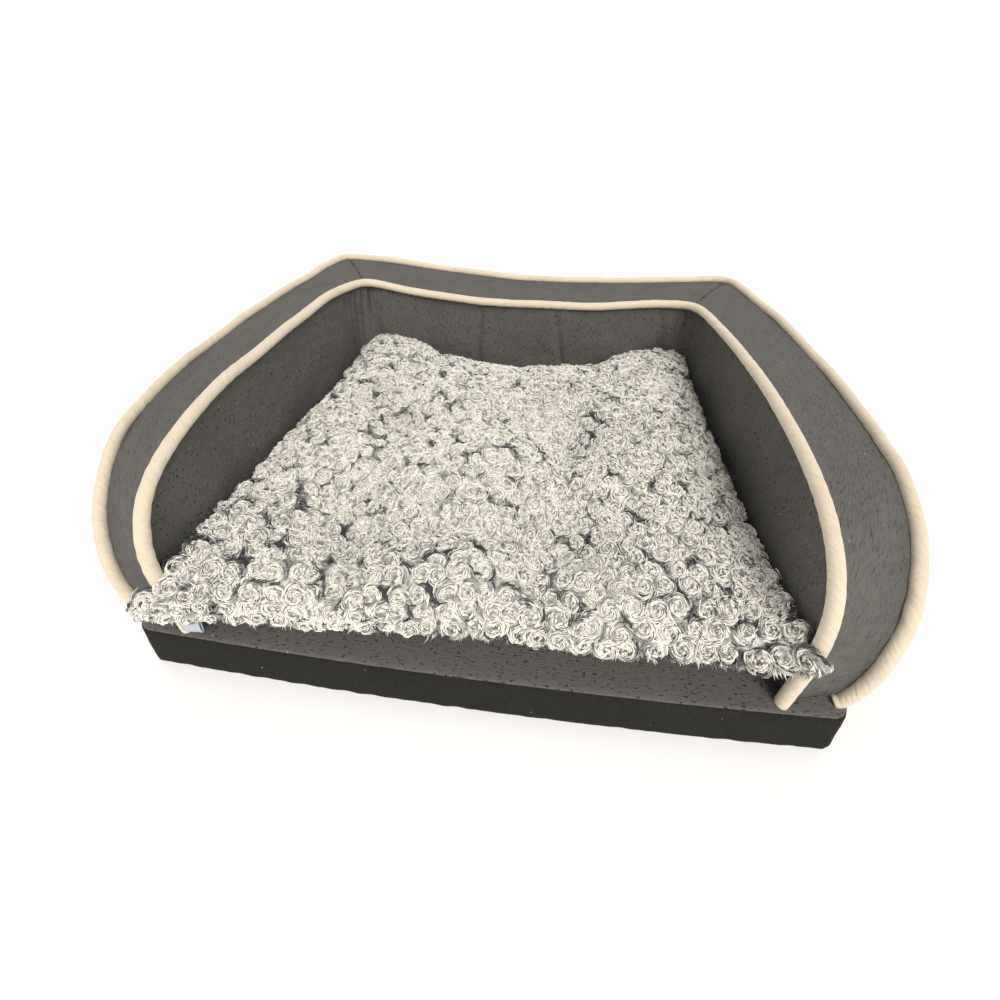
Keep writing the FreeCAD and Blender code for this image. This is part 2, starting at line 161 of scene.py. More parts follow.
class PlushSettings(bpy.types.PropertyGroup):
    spacing: length_setting("Rosette spacing", "Middle to middle", 0.0215)
    pile: length_setting("Pile height", "Height of a rosette", 0.0075)
    strand: length_setting("Strand", "Width of a strand of fibre", 0.0013)
    tip: colour_setting("Tips", "Colour of the curled tips", (0.94, 0.91, 0.84))
    root: colour_setting("Roots", "Colour at the roots", (0.035, 0.042, 0.044))
    seed: IntProperty(name="Seed", description="Start of the random draws", default=7)


class StudioSettings(bpy.types.PropertyGroup):
    floor: colour_setting("Floor", "Plain pale floor", (0.93, 0.93, 0.925))
    key: FloatProperty(name="Key light", description="Strength of the soft key light", default=2.75, min=0)
    fill: FloatProperty(name="Fill", description="Strength of the surrounding light", default=0.62, min=0)


# ---------------------------------------------------------------- meshes

def make_mesh(name, points, faces, maps=None, values=None):
    """A smooth mesh of points and of one or more arrays of faces, with UV maps and point values."""
    mesh = bpy.data.meshes.new(name)
    mesh.vertices.add(len(points))
    mesh.vertices.foreach_set("co", np.ascontiguousarray(points, np.float32).ravel())
    sides = np.concatenate([np.full(len(f), f.shape[1]) for f in faces])
    corners = np.concatenate([f.ravel() for f in faces]).astype(np.int32)
    mesh.loops.add(len(corners))
    mesh.loops.foreach_set("vertex_index", corners)
    mesh.polygons.add(len(sides))
    mesh.polygons.foreach_set("loop_start", (np.cumsum(sides) - sides).astype(np.int32))
    mesh.update(calc_edges=True)
    for map_name, flat in (maps or {}).items():
        layer = mesh.uv_layers.new(name=map_name)
        layer.data.foreach_set("uv", flat[corners].astype(np.float32).ravel())
    for value_name, value in (values or {}).items():
        attribute = mesh.attributes.new(value_name, "FLOAT", "POINT")
        attribute.data.foreach_set("value", value.astype(np.float32).ravel())
    mesh.shade_smooth()
    return mesh


def quads(index):
    """Quads between the rows and columns of a grid of point numbers."""
    return np.stack([index[:-1, :-1], index[:-1, 1:], index[1:, 1:], index[1:, :-1]], -1).reshape(-1, 4)


def grid_faces(rows, columns):
    """Quads of a sheet whose outside is on the left of its rows."""
    return quads(np.arange(rows * columns).reshape(rows, columns))


def grid_mesh(name, grid, cloth):
    """A sheet of cloth through a grid of points; cloth holds each point's place on the flat cloth."""
    rows, columns = grid.shape[:2]
    return make_mesh(
        name, grid.reshape(-1, 3), [grid_faces(rows, columns)], {"cloth": cloth.reshape(-1, 2)}
    )


def tube_faces(start, count, sides):
    """Quads round a tube whose rings of points are numbered from start."""
    index = start + np.arange(count * sides).reshape(count, sides)
    after = np.roll(index, -1, axis=1)
    return np.stack([index[:-1], after[:-1], after[1:], index[1:]], -1).reshape(-1, 4)


def tube_mesh(name, rings, cloth=None):
    """A closed tube through rings of points, with a fan over each end."""
    count, sides = rings.shape[:2]
    skin = tube_faces(0, count, sides)
    ring = np.arange(sides)
    after = np.roll(ring, -1)
    first, last = count * sides, count * sides + 1
    end = last - 1 - sides
    ends = np.concatenate([
        np.stack([after, ring, np.full(sides, first)], -1),
        np.stack([end + ring, end + after, np.full(sides, last)], -1),
    ])
    points = np.concatenate([rings.reshape(-1, 3), rings[:1].mean(1), rings[-1:].mean(1)])
    maps = None
    if cloth is not None:
        flat = cloth.reshape(-1, 2)
        maps = {"cloth": np.concatenate([flat, cloth[:1, 0], cloth[-1:, 0]])}
    return make_mesh(name, points, [skin, ends], maps)


def pillow_mesh(name, top, under):
    """A closed pillow of two sheets that meet along their border."""
    rows, columns = top.shape[:2]
    upper = np.arange(rows * columns).reshape(rows, columns)
    lower = upper.copy()
    inner = (rows - 2, columns - 2)
    lower[1:-1, 1:-1] = rows * columns + np.arange(inner[0] * inner[1]).reshape(inner)
    border = np.ones((rows, columns, 1), bool)
    border[1:-1, 1:-1] = False
    top = np.where(border, (top + under) / 2, top)
    points = np.concatenate([top.reshape(-1, 3), under[1:-1, 1:-1].reshape(-1, 3)])
    return make_mesh(name, points, [quads(upper), quads(lower[:, ::-1])])


def add_piece(mesh, node, body, material, thickness=0.0):
    """Puts a mesh in the scene in the place of a CAD node."""
    piece = bpy.data.objects.new(mesh.name, mesh)
    bpy.context.scene.collection.objects.link(piece)
    mesh.materials.append(material)
    if thickness:
        shell = piece.modifiers.new("Cloth thickness", "SOLIDIFY")
        shell.thickness = thickness
        shell.offset = -1
    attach(piece, body)
    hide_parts(node)
    return piece


# ---------------------------------------------------------------- curves and sheets

def mix(a, b, part):
    return a + (b - a) * part


def unit(vectors):
    return vectors / np.maximum(np.linalg.norm(vectors, axis=-1, keepdims=True), 1e-12)


def distances(line):
    """How far along a line each of its points lies."""
    steps = np.linalg.norm(np.diff(line, axis=0), axis=1)
    return np.concatenate([[0], np.cumsum(steps)])


def resample(line, count):
    """A line's points, evenly spaced."""
    along = distances(line)
    wanted = np.linspace(0, along[-1], count)
    return np.stack([np.interp(wanted, along, line[:, k]) for k in range(3)], 1)


def spline(points, count):
    """A smooth line through a few points, evenly spaced."""
    p = np.array(points, float)
    p = np.concatenate([2 * p[:1] - p[1:2], p, 2 * p[-1:] - p[-2:-1]])
    t = np.linspace(0, 1, 24, endpoint=False)[:, None]
    spans = []
    for a, b, c, d in zip(p, p[1:], p[2:], p[3:]):
        spans.append(
            0.5 * (2 * b + (c - a) * t + (2 * a - 5 * b + 4 * c - d) * t**2 + (3 * b - a - 3 * c + d) * t**3)
        )
    return resample(np.concatenate(spans + [p[-2:-1]]), count)


def finer(grid):
    """A grid with a new point, on a smooth curve, between each two along both directions."""
    for _ in range(2):
        ends = np.concatenate([2 * grid[:1] - grid[1:2], grid, 2 * grid[-1:] - grid[-2:-1]])
        middle = (9 * (ends[1:-2] + ends[2:-1]) - ends[:-3] - ends[3:]) / 16
        both = np.empty((2 * len(grid) - 1, *grid.shape[1:]))
        both[::2], both[1::2] = grid, middle
        grid = both.swapaxes(0, 1)
    return grid


def outward(grid):
    """The outward direction of a sheet at each of its points."""
    return unit(np.cross(np.gradient(grid, axis=1), np.gradient(grid, axis=0)))


def ripple(points, size, seed):
    """Smooth random values, from about -1 to 1, whose bumps are a given size."""
    flat = np.asarray(points, float).reshape(-1, np.shape(points)[-1]) / size
    if flat.shape[1] == 2:
        flat = np.concatenate([flat, np.zeros((len(flat), 1))], 1)
    found = [noise.noise(Vector((x + seed, y, z)), noise_basis="PERLIN_ORIGINAL") for x, y, z in flat]
    return np.array(found).reshape(np.shape(points)[:-1]) * 1.6


def inflate(name, grid, sewn, settings):
    """Lets a filling push a sheet of cloth out between its seams, by cloth simulation."""
    rows, columns = grid.shape[:2]
    mesh = make_mesh(name, grid.reshape(-1, 3), [grid_faces(rows, columns)])
    cloth_piece = bpy.data.objects.new(name, mesh)
    bpy.context.scene.collection.objects.link(cloth_piece)
    seams = cloth_piece.vertex_groups.new(name="sewn")
    seams.add(np.flatnonzero(sewn.ravel()).tolist(), 1.0, "REPLACE")
    modifier = cloth_piece.modifiers.new("Cloth", "CLOTH")
    cloth = modifier.settings
    cloth.quality = 6
    cloth.vertex_group_mass = "sewn"
    cloth.use_pressure = True
    cloth.uniform_pressure_force = settings.pressure
    cloth.shrink_min = -settings.slack
    cloth.bending_stiffness = 0.8
    cloth.effector_weights.gravity = 0
    modifier.collision_settings.use_collision = False
    modifier.point_cache.frame_start = 1
    modifier.point_cache.frame_end = SIM_FRAMES
    for step in range(1, SIM_FRAMES + 1):
        bpy.context.scene.frame_set(step)
    swollen = cloth_piece.evaluated_get(bpy.context.evaluated_depsgraph_get())
    found = np.empty(rows * columns * 3, np.float32)
    swollen.data.vertices.foreach_get("co", found)
    bpy.data.objects.remove(cloth_piece)
    bpy.data.meshes.remove(mesh)
    bpy.context.scene.frame_set(1)
    move = found.reshape(grid.shape) - grid
    far = np.linalg.norm(move, axis=-1, keepdims=True)
    if not np.isfinite(far).all():
        raise RuntimeError(f"the simulation of {name} came apart")
    return grid + move / np.maximum(far, 1e-9) * settings.puff * np.tanh(far / settings.puff)


# ---------------------------------------------------------------- materials

def add_node(tree, kind, place, values=None, **settings):
    node = tree.nodes.new(kind)
    node.location = place
    for name, value in settings.items():
        setattr(node, name, value)
    for socket, value in (values or {}).items():
        node.inputs[socket].default_value = value
    return node


def calculate(tree, operation, place, a, b=0.0, c=0.0, clamp=False):
    """A Math node; a, b and c are numbers or outputs of other nodes."""
    node = add_node(tree, "ShaderNodeMath", place, operation=operation, use_clamp=clamp)
    for socket, value in zip(node.inputs, (a, b, c)):
        if isinstance(value, bpy.types.NodeSocket):
            tree.links.new(value, socket)
        else:
            socket.default_value = value
    return node.outputs[0]


def blend_colours(tree, place, part, a, b, kind="MIX"):
    """A Mix node for colours; part, a and b are values or outputs of other nodes."""
    node = add_node(tree, "ShaderNodeMix", place, data_type="RGBA", blend_type=kind)
    for socket, value in ((node.inputs[0], part), (node.inputs[6], a), (node.inputs[7], b)):
        if isinstance(value, bpy.types.NodeSocket):
            tree.links.new(value, socket)
        elif isinstance(value, (float, int)):
            socket.default_value = value
        else:
            socket.default_value = (*value, 1)
    return node.outputs[2]


def stretched_noise(tree, place, vector, scale, detail=2.0, roughness=0.5):
    """Noise on coordinates that are scaled separately in each direction."""
    mapping = add_node(tree, "ShaderNodeMapping", place, {"Scale": scale})
    texture = add_node(
        tree, "ShaderNodeTexNoise", (place[0] + 180, place[1]),
        {"Scale": 1.0, "Detail": detail, "Roughness": roughness},
    )
    tree.links.new(vector, mapping.inputs["Vector"])
    tree.links.new(mapping.outputs["Vector"], texture.inputs["Vector"])
    return texture.outputs["Fac"]


def new_group(name, inputs, outputs):
    """An empty shader node group with its sockets, its input node and its output node."""
    tree = bpy.data.node_groups.new(name, "ShaderNodeTree")
    for in_out, sockets in (("INPUT", inputs), ("OUTPUT", outputs)):
        for socket_name, kind, default in sockets:
            socket = tree.interface.new_socket(socket_name, in_out=in_out, socket_type=kind)
            if default is not None:
                socket.default_value = default
    given = add_node(tree, "NodeGroupInput", (-1000, 0))
    result = add_node(tree, "NodeGroupOutput", (700, 0))
    return tree, given, result


def slub_weave_group():
    """Fine ribs, short dark slubs and a slow change of shade, on cloth measured in metres."""
    tree, given, result = new_group(
        "slub weave",
        [("Cloth", "NodeSocketVector", None), ("Colour", "NodeSocketColor", (0.1, 0.1, 0.1, 1)),
         ("Fleck", "NodeSocketColor", (0.01, 0.01, 0.01, 1)), ("Flecks", "NodeSocketFloat", 0.8)],
        [("Colour", "NodeSocketColor", None), ("Height", "NodeSocketFloat", None),
         ("Roughness", "NodeSocketFloat", None)],
    )
    cloth = given.outputs["Cloth"]
    ribs = stretched_noise(tree, (-780, 300), cloth, (800, 60, 1), 3.0)
    weft = stretched_noise(tree, (-780, 80), cloth, (260, 900, 1), 2.0)
    slubs = stretched_noise(tree, (-780, -140), cloth, (560, 165, 1), 1.0)
    patches = stretched_noise(tree, (-780, -360), cloth, (55, 42, 1), 2.0)
    shade = stretched_noise(tree, (-780, -580), cloth, (11, 11, 1), 3.0)
    bias = calculate(tree, "MULTIPLY_ADD", (-380, -260), patches, 0.20, slubs)
    marks = add_node(
        tree, "ShaderNodeMapRange", (-200, -200),
        {"From Min": 0.725, "From Max": 0.775}, interpolation_type="SMOOTHSTEP",
    )
    tree.links.new(bias, marks.inputs["Value"])
    fleck = calculate(tree, "MULTIPLY", (-20, -200), marks.outputs["Result"], given.outputs["Flecks"])
    light = calculate(tree, "MULTIPLY_ADD", (-380, 240), ribs, 0.75, 0.53)
    light = calculate(tree, "MULTIPLY_ADD", (-200, 160), weft, 0.28, light)
    light = calculate(tree, "MULTIPLY_ADD", (-20, 60), shade, 0.26, light)
    light = calculate(tree, "SUBTRACT", (160, 60), light, 0.27)
    plain = blend_colours(tree, (320, 200), 1.0, given.outputs["Colour"], light, "MULTIPLY")
    flecked = blend_colours(tree, (500, 120), fleck, plain, given.outputs["Fleck"])
    height = calculate(tree, "MULTIPLY_ADD", (160, -120), weft, 0.4, ribs)
    height = calculate(tree, "MULTIPLY_ADD", (340, -160), fleck, -0.5, height)
    rough = calculate(tree, "MULTIPLY_ADD", (340, -320), ribs, 0.2, 0.75)
    tree.links.new(flecked, result.inputs["Colour"])
    tree.links.new(height, result.inputs["Height"])
    tree.links.new(rough, result.inputs["Roughness"])
    return tree


def wear_group():
    """Rubbed and soiled patches, and a few pale specks of lint."""
    tree, given, result = new_group(
        "wear and lint",
        [("Place", "NodeSocketVector", None), ("Colour", "NodeSocketColor", (0.5, 0.5, 0.5, 1)),
         ("Soil", "NodeSocketColor", (0.2, 0.17, 0.13, 1)), ("Amount", "NodeSocketFloat", 0.2),
         ("Lint", "NodeSocketFloat", 0.5)],
        [("Colour", "NodeSocketColor", None)],
    )
    place = given.outputs["Place"]
    patches = stretched_noise(tree, (-780, 200), place, (9, 9, 9), 5.0, 0.6)
    worn = calculate(tree, "SUBTRACT", (-380, 200), patches, 0.42, clamp=True)
    worn = calculate(tree, "MULTIPLY", (-200, 200), worn, given.outputs["Amount"])
    soiled = blend_colours(tree, (0, 200), worn, given.outputs["Colour"], given.outputs["Soil"])
    mapping = add_node(tree, "ShaderNodeMapping", (-780, -200), {"Scale": (38, 38, 38)})
    specks = add_node(tree, "ShaderNodeTexVoronoi", (-600, -200), {"Scale": 1.0})
    tree.links.new(place, mapping.inputs["Vector"])
    tree.links.new(mapping.outputs["Vector"], specks.inputs["Vector"])
    near = calculate(tree, "LESS_THAN", (-380, -200), specks.outputs["Distance"], 0.035)
    lint = calculate(tree, "MULTIPLY", (-200, -200), near, given.outputs["Lint"])
    specked = blend_colours(tree, (200, 0), lint, soiled, (0.55, 0.52, 0.47))
    tree.links.new(specked, result.inputs["Colour"])
    return tree


def nap_group():
    """Short brushed fibres: a fine mottle of colour and height."""
    tree, given, result = new_group(
        "brushed nap",
        [("Place", "NodeSocketVector", None), ("Colour", "NodeSocketColor", (0.5, 0.5, 0.5, 1)),
         ("Scale", "NodeSocketFloat", 900.0), ("Depth", "NodeSocketFloat", 0.3)],
        [("Colour", "NodeSocketColor", None), ("Height", "NodeSocketFloat", None)],
    )
    fine = add_node(tree, "ShaderNodeTexNoise", (-600, 100), {"Detail": 4.0, "Roughness": 0.7})
    tree.links.new(given.outputs["Place"], fine.inputs["Vector"])
    tree.links.new(given.outputs["Scale"], fine.inputs["Scale"])
    swing = calculate(tree, "SUBTRACT", (-400, 100), fine.outputs["Fac"], 0.5)
    light = calculate(tree, "MULTIPLY_ADD", (-200, 100), swing, given.outputs["Depth"], 1.0)
    napped = blend_colours(tree, (100, 100), 1.0, given.outputs["Colour"], light, "MULTIPLY")
    tree.links.new(napped, result.inputs["Colour"])
    tree.links.new(fine.outputs["Fac"], result.inputs["Height"])
    return tree


def get_group(name):
    """A shared node group, built the first time that it is asked for."""
    makers = {"slub weave": slub_weave_group, "wear and lint": wear_group, "brushed nap": nap_group}
    return bpy.data.node_groups.get(name) or makers[name]()


def place_group(tree, name, place, values=None):
    return add_node(tree, "ShaderNodeGroup", place, values, node_tree=get_group(name))


def new_material(name, roughness=0.9, sheen=0.0, specular=0.25):
    """A material with a Principled shader whose plain numbers are set on its own sockets."""
    made = bpy.data.materials.new(name)
    made.use_nodes = True
    shader = made.node_tree.nodes["Principled BSDF"]
    shader.location = (1000, 0)
    made.node_tree.nodes["Material Output"].location = (1300, 0)
    shader.inputs["Roughness"].default_value = roughness
    shader.inputs["Sheen Weight"].default_value = sheen
    shader.inputs["Specular IOR Level"].default_value = specular
    shader.inputs["Sheen Roughness"].default_value = 0.5
    return made, made.node_tree, shader


def bump(tree, place, height, depth, shader):
    """Feeds a height in metres, times a depth, to a shader's normal."""
    node = add_node(tree, "ShaderNodeBump", place, {"Strength": 1.0, "Distance": depth})
    tree.links.new(height, node.inputs["Height"])
    tree.links.new(node.outputs["Normal"], shader.inputs["Normal"])


def finish_cloth(tree, shader, colour_out, place_out, amount=0.25, lint=0.6, soil=(0.13, 0.12, 0.11)):
    """Wears and specks a cloth's colour and hands it to the shader."""
    worn = place_group(
        tree, "wear and lint", (760, 300), {"Amount": amount, "Lint": lint, "Soil": (*soil, 1)}
    )
    tree.links.new(colour_out, worn.inputs["Colour"])
    tree.links.new(place_out, worn.inputs["Place"])
    tree.links.new(worn.outputs["Colour"], shader.inputs["Base Color"])


def upholstery(name="slub upholstery", shade=1.0):
    """The grey slub cloth of the base and the bolster. A shade below 1 makes a darker copy with less sheen
    and specular: painted shade, used on the base's side bands.
    """
    if name in bpy.data.materials:
        return bpy.data.materials[name]
    cloth = bpy.context.scene.bed_cloth
    # Painted shade: a shade below 1 darkens the cloth's colour, its soil, its sheen and its specular
    # together.
    made, tree, shader = new_material(name, sheen=0.03 * shade, specular=0.15 * shade)
    flat = add_node(tree, "ShaderNodeUVMap", (0, 0), uv_map="cloth")
    weave = place_group(tree, "slub weave", (300, 0), {
        "Colour": (*(shade * part for part in cloth.colour), 1),
        "Fleck": (*cloth.fleck, 1), "Flecks": cloth.flecks,
    })
    tree.links.new(flat.outputs["UV"], weave.inputs["Cloth"])
    tree.links.new(weave.outputs["Roughness"], shader.inputs["Roughness"])
    # The soil is darkened with the rest, as part of the painted shade.
    soil = [shade * part for part in (0.13, 0.12, 0.11)]
    finish_cloth(tree, shader, weave.outputs["Colour"], flat.outputs["UV"], soil=soil)
    bump(tree, (760, -200), weave.outputs["Height"], 0.0005, shader)
    return made


def napped_cloth(name, tint, scale=700.0, depth=0.6, sheen=0.1, thickness=0.0004, amount=0.2, lint=0.3):
    """A plain cloth or filling with a brushed or porous surface."""
    if name in bpy.data.materials:
        return bpy.data.materials[name]
    made, tree, shader = new_material(name, sheen=sheen)
    place = add_node(tree, "ShaderNodeTexCoord", (0, 0))
    nap = place_group(tree, "brushed nap", (300, 0), {"Colour": (*tint, 1), "Scale": scale, "Depth": depth})
    tree.links.new(place.outputs["Object"], nap.inputs["Place"])
    finish_cloth(tree, shader, nap.outputs["Colour"], place.outputs["Object"], amount, lint)
    bump(tree, (760, -200), nap.outputs["Height"], thickness, shader)
    return made


def piping_cloth():
    """Brushed cream cover, its nap broken by fine wrinkles that run round the cord, with painted shade in
    the wrinkles' troughs.
    """
    tint = bpy.context.scene.bed_piping.colour
    made, tree, shader = new_material("piping suede", sheen=0.35)
    place = add_node(tree, "ShaderNodeTexCoord", (-200, 200))
    flat = add_node(tree, "ShaderNodeUVMap", (-200, -200), uv_map="cloth")
    nap = place_group(tree, "brushed nap", (100, 200), {"Colour": (*tint, 1), "Scale": 650.0, "Depth": 0.35})
    tree.links.new(place.outputs["Object"], nap.inputs["Place"])
    wrinkles = stretched_noise(tree, (0, -200), flat.outputs["UV"], (210, 38, 1), 3.0)
    # Painted shade: the colour darkens where the wrinkle noise is low, in the troughs that the same noise
    # bumps in.
    shade = calculate(tree, "MULTIPLY_ADD", (360, -100), wrinkles, 0.26, 0.87)
    shaded = blend_colours(tree, (540, 100), 1.0, nap.outputs["Colour"], shade, "MULTIPLY")
    finish_cloth(tree, shader, shaded, place.outputs["Object"], 0.5, 0.0, (0.52, 0.40, 0.28))
    height = calculate(tree, "MULTIPLY_ADD", (540, -260), wrinkles, 2.2, nap.outputs["Height"])
    bump(tree, (760, -200), height, 0.0006, shader)
    return made


def plush_pile():
    """Frosted fibres: dark where the tone is low and at the very root, cream towards the tip. The tone holds
    random dark strands and painted shade between and in the middles of rosettes.
    """
    plush = bpy.context.scene.bed_plush
    made, tree, shader = new_material("rosette pile", sheen=0.25, specular=0.2)
    along = add_node(tree, "ShaderNodeAttribute", (-400, 200), attribute_name="along")
    tone = add_node(tree, "ShaderNodeAttribute", (-400, 0), attribute_name="tone")
    fade = add_node(
        tree, "ShaderNodeMapRange", (-200, 200), {"From Min": 0.0, "From Max": 0.4, "To Min": 0.62},
        interpolation_type="SMOOTHSTEP",
    )
    tree.links.new(along.outputs["Fac"], fade.inputs["Value"])
    light = calculate(tree, "MULTIPLY", (0, 120), fade.outputs["Result"], tone.outputs["Fac"])
    fibre = blend_colours(tree, (400, 200), light, plush.root, plush.tip)
    tree.links.new(fibre, shader.inputs["Base Color"])
    rough = calculate(tree, "MULTIPLY_ADD", (400, -100), tone.outputs["Fac"], -0.12, 0.90)
    tree.links.new(rough, shader.inputs["Roughness"])
    return made


def label_ribbon():
    """Blank pale ribbon, woven in fine bars, for the folded label."""
    made, tree, shader = new_material("label ribbon", roughness=0.6)
    flat = add_node(tree, "ShaderNodeUVMap", (-400, 0), uv_map="cloth")
    bars = stretched_noise(tree, (-200, 0), flat.outputs["UV"], (400, 3200, 1), 1.0)
    light = calculate(tree, "MULTIPLY_ADD", (200, 0), bars, 0.3, 0.85)
    woven = blend_colours(tree, (400, 100), 1.0, (0.42, 0.47, 0.52), light, "MULTIPLY")
    finish_cloth(tree, shader, woven, flat.outputs["UV"], 0.2, 0.0)
    bump(tree, (760, -200), bars, 0.0002, shader)
    return made


# ---------------------------------------------------------------- base

def base_outline(count, corner=BASE_CORNER):
    """The base's plan as a loop of evenly spaced points, and the outward direction at each."""
    flat_back = BASE_BACK - corner
    side = BASE_HALF_WIDTH - corner
    turn = np.linspace(0, math.pi / 2, 12)
    arc = np.stack([np.cos(turn), np.sin(turn)], 1) * corner
    loop = []
    for x, y, quarter in ((1, 1, 0), (-1, 1, 1), (-1, -1, 2), (1, -1, 3)):
        c, s = round(math.cos(quarter * math.pi / 2)), round(math.sin(quarter * math.pi / 2))
        bend = np.stack([arc[:, 0] * c - arc[:, 1] * s, arc[:, 0] * s + arc[:, 1] * c], 1)
        loop.append(bend + (x * side, y * flat_back))
    loop = np.concatenate(loop + [loop[0][:1]])
    loop = resample(np.concatenate([loop, np.zeros((len(loop), 1))], 1), count + 1)[:-1]
    near_front = np.clip((-loop[:, 1] - flat_back) / corner, 0, 1)
    loop[:, 1] -= FRONT_BOW * (1 - (loop[:, 0] / BASE_HALF_WIDTH) ** 2) * near_front
    ahead = np.roll(loop, -1, 0) - np.roll(loop, 1, 0)
    return loop, unit(np.stack([ahead[:, 1], -ahead[:, 0], 0 * ahead[:, 0]], 1))


# The side bands: points round them and up them, their puff, and how far their foot stands out.
GUSSET_COLUMNS = 600
GUSSET_ROWS = 15
GUSSET_PUFF = 0.0026
GUSSET_SEAM_INSET = 0.0006
FOOT_SPREAD = 0.003
FOOT_CORNER = BASE_CORNER * 0.35


def base_gussets(material, thickness):
    """The four side bands, slightly puffed between their seams, with squarer corners at the floor."""
    loop, out = base_outline(GUSSET_COLUMNS)
    around = distances(np.concatenate([loop, loop[:1]]))[:-1]
    height = np.linspace(0.0012, BASE_TOP - 0.0014, GUSSET_ROWS)
    bulge = np.sin(np.linspace(0, math.pi, GUSSET_ROWS)) ** 0.5
    foot, foot_out = base_outline(GUSSET_COLUMNS, FOOT_CORNER)
    low = (1 - height / BASE_TOP)[:, None, None]
    grid = mix(loop[None], (foot + foot_out * FOOT_SPREAD)[None], low)
    grid = grid + out[None] * (bulge * GUSSET_PUFF - GUSSET_SEAM_INSET)[:, None, None]
    grid[..., 2] = height[:, None]
    cloth = np.stack(np.broadcast_arrays(around[None], height[:, None]), -1)
    grid = grid + out[None] * (ripple(grid, 0.045, 3) * bulge[:, None] * 0.0011)[..., None]
    near_a_seam = np.exp(-np.minimum(height, BASE_TOP - height) / 0.009)[:, None]
    grid = grid + out[None] * (ripple(cloth, 0.016, 5) * near_a_seam * 0.0008)[..., None]
    middle = BASE_BACK - BASE_CORNER
    places = {
        "back": loop[:, 1] > middle, "front": loop[:, 1] < -middle,
        "left": (abs(loop[:, 1]) <= middle) & (loop[:, 0] < 0),
        "right": (abs(loop[:, 1]) <= middle) & (loop[:, 0] > 0),
    }
    for side, inside in places.items():
        start = int(np.flatnonzero(inside & ~np.roll(inside, 1))[0])
        chosen = (start + np.arange(inside.sum() + 1)) % len(loop)
        flat = cloth[:, chosen]
        flat[..., 0] = np.where(flat[..., 0] < around[start], flat[..., 0] + around[-1], flat[..., 0])
        mesh = grid_mesh(f"sewn_gusset_{side}", grid[:, chosen], flat)
        add_piece(mesh, f"base_gusset_{side}", "bed", material, thickness=thickness)


# A base face's rolled edge: distance in from the outline and height beside the face.
ROLLED_EDGE = (
    (0.0006, -0.0018), (0.0006, -0.0010), (0.0016, -0.0002), (0.0038, 0.0002), (0.008, 0.0003),
    (0.012, 0.0002), (0.016, 0.0001),
)


def slab_face(name, level, side):
    """A cloth face of the base: a soft rolled edge, then flat to the middle. side is 1 on top, -1 below."""
    loop, out = base_outline(400)
    lift = 1.0 if side > 0 else -0.25
    rings = [loop - out * inward + (0, 0, level + lift * height) for inward, height in ROLLED_EDGE]
    rings += [rings[-1] * (part, part, 1) for part in np.linspace(0.965, 0, 26)]
    grid = np.stack(rings)
    if side > 0:
        waves = ripple(grid, 0.09, 11) * 0.0011 + ripple(grid, 0.03, 12) * 0.0003
        calm = np.clip(np.arange(len(grid)) / 6, 0, 1)[:, None]
        grid[..., 2] += 0.8 * np.abs(waves) * calm
    closed = np.concatenate([grid, grid[:, :1]], 1)
    if side < 0:
        closed = closed[:, ::-1]
    return grid_mesh(name, closed, closed[..., 1::-1])


# ---------------------------------------------------------------- bolster

def rise(gone, over, squareness):
    """Share of its full height that an arm's edge has reached, some way behind its front."""
    ahead = np.clip(1 - gone / over, 0, 1)
    return (1 - ahead**squareness) ** (1 / squareness)


def whole_line(arm, back):
    """The left arm's line, the back's and the right arm's as one line of columns."""
    arm = resample(arm, ARM_COLUMNS + 1)
    back = resample(back, BACK_COLUMNS + 1)
    return np.concatenate([arm * (-1, 1, 1), back[1:-1], arm[::-1]])


def round_corners(line, reach):
    """Rounds a line at its two back corners; reach is in columns."""
    wide = int(4 * reach)
    kernel = np.exp(-0.5 * (np.arange(-wide, wide + 1) / reach) ** 2)
    kernel /= kernel.sum()
    padded_line = np.pad(line, ((wide, wide), (0, 0)), mode="edge")
    soft = np.stack([np.convolve(padded_line[:, k], kernel, "valid") for k in range(3)], 1)
    column = np.arange(len(line))
    near = sum(np.exp(-((column - c) / (3.5 * reach)) ** 4) for c in corner_columns())
    return mix(line, soft, near[:, None])


def corner_columns():
    return ARM_COLUMNS, ARM_COLUMNS + BACK_COLUMNS


